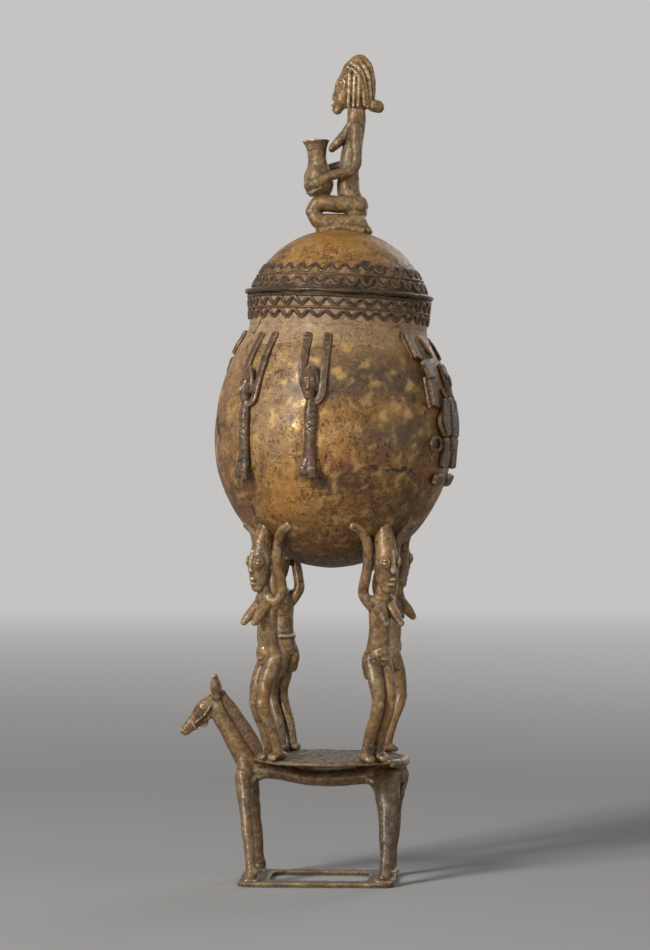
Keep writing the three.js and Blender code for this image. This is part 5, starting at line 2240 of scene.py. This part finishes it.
@dataclass(frozen=True)
class Lamp:
    """A soft lamp: place, width and height in metres, and power in watts."""

    name: str
    place: Point
    size: tuple[float, float]
    power: float

    def hang(self, aim: Point) -> None:
        """Hangs the lamp.

        Args:
            aim: The point that it shines at.
        """
        data = bpy.data.lights.new(self.name, "AREA")
        data.shape = "RECTANGLE"
        data.size, data.size_y = self.size
        data.energy = self.power
        lamp = in_scene(self.name, data)
        lamp.location = self.place
        lamp.rotation_euler = (Vector(aim) - Vector(self.place)).to_track_quat("-Z", "Y").to_euler()


LAMPS = (
    Lamp("key", (-1.25, -1.6, 1.05), (0.45, 1.3), 40),
    Lamp("side", (1.9, -0.9, 0.8), (0.4, 1.0), 3),
    Lamp("front", (-0.3, -2.2, 0.2), (1.2, 0.5), 4),
    Lamp("back", (0.9, 1.9, 1.2), (0.9, 0.9), 7),
)


@dataclass
class Studio:
    """Pale floor, soft lamps, even surroundings and the camera. Sizes are in metres."""

    pale: Colour = (0.56, 0.55, 0.54)
    fill: float = 0.18
    floor_radius: float = 9.0
    fade_start: float = 0.5
    fade_length: float = 2.5
    lamp_aim: Point = (0, 0, 0.2)
    target: Point = (0.0035, 0.0, 0.203)
    azimuth: float = math.radians(3)
    distance: float = 1.5
    lens: float = 113.7
    sensor: float = 36.0

    def _floor(self) -> None:
        """Makes the floor, which runs into the surroundings far out."""
        bm = bmesh.new()
        bmesh.ops.create_circle(bm, cap_ends=True, radius=self.floor_radius, segments=96)
        floor = in_scene("studio_floor", as_mesh(bm, "studio_floor"))
        material = bpy.data.materials.new("studio_floor")
        material.use_nodes = True
        bench = Bench(material.node_tree)
        place = bench.wire("ShaderNodeTexCoord", "Object")
        away = bench.vector("LENGTH", place, output="Value")
        matt = bench.wire("ShaderNodeBsdfDiffuse", "BSDF", None, {"Color": (*self.pale, 1)})
        far = bench.wire("ShaderNodeEmission", "Emission", None, {"Color": (*self.pale, 1)})
        shares = {0: away.over(self.fade_start, self.fade_length), 1: matt, 2: far}
        surface = bench.wire("ShaderNodeMixShader", "Shader", None, shares)
        bench.node("ShaderNodeOutputMaterial", None, {"Surface": surface})
        floor.data.materials.append(material)

    def _surroundings(self) -> None:
        """Makes the world: dim to matt surfaces, pale to the camera and to the metal."""
        world = bpy.data.worlds.new("studio")
        bpy.context.scene.world = world
        world.use_nodes = True
        bench = Bench(world.node_tree)
        camera = bench.wire("ShaderNodeLightPath", "Is Camera Ray")
        glossy = bench.wire("ShaderNodeLightPath", "Is Glossy Ray")
        through = bench.wire("ShaderNodeLightPath", "Is Transmission Ray")
        seen = camera.largest(glossy).largest(through)
        strength = self.fill + seen * (1 - self.fill)
        inputs = {"Color": (*self.pale, 1), "Strength": strength}
        surface = bench.wire("ShaderNodeBackground", "Background", None, inputs)
        bench.node("ShaderNodeOutputWorld", None, {"Surface": surface})

    def _camera(self) -> None:
        """Places the camera at the photograph's angle."""
        data = bpy.data.cameras.new("camera")
        data.lens = self.lens
        data.sensor_width = self.sensor
        camera = in_scene("camera", data)
        back = Vector((math.sin(self.azimuth), -math.cos(self.azimuth), 0))
        camera.location = Vector(self.target) + back * self.distance
        camera.rotation_euler = (-back).to_track_quat("-Z", "Y").to_euler()
        bpy.context.scene.camera = camera

    def make(self) -> None:
        """Sets up the studio."""
        self._camera()
        self._floor()
        self._surroundings()
        for lamp in LAMPS:
            lamp.hang(self.lamp_aim)
        bpy.context.scene.view_settings.view_transform = "Standard"


def seed(number: int) -> int:
    """Seed of a standing woman's unevenness, which keeps clear of the other pieces' seeds."""
    return 70 + 3 * number


def corners(box: tuple[Vector, Vector]) -> list[list[float]]:
    """Two corners as plain lists of numbers."""
    return [list(corner) for corner in box]


def main() -> None:
    """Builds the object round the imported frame."""
    logging.basicConfig(level=logging.INFO, format="%(message)s")
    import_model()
    Studio().make()
    foundry = Foundry()
    shape = PotShape()
    plate = SupportPlate(foundry)
    GroundFrame(foundry).make()
    Horse(foundry, plate).make()
    plate.make()
    for number, (corner, bearing) in enumerate(BEARINGS.items()):
        woman = StandingWoman(foundry, f"caryatid_{corner}", bearing, seed(number), shape, plate)
        woman.belted = corner == BELTED
        woman.make()
    Pot(foundry, shape).make()
    Lid(foundry, shape).make()


if __name__ == "__main__":
    main()
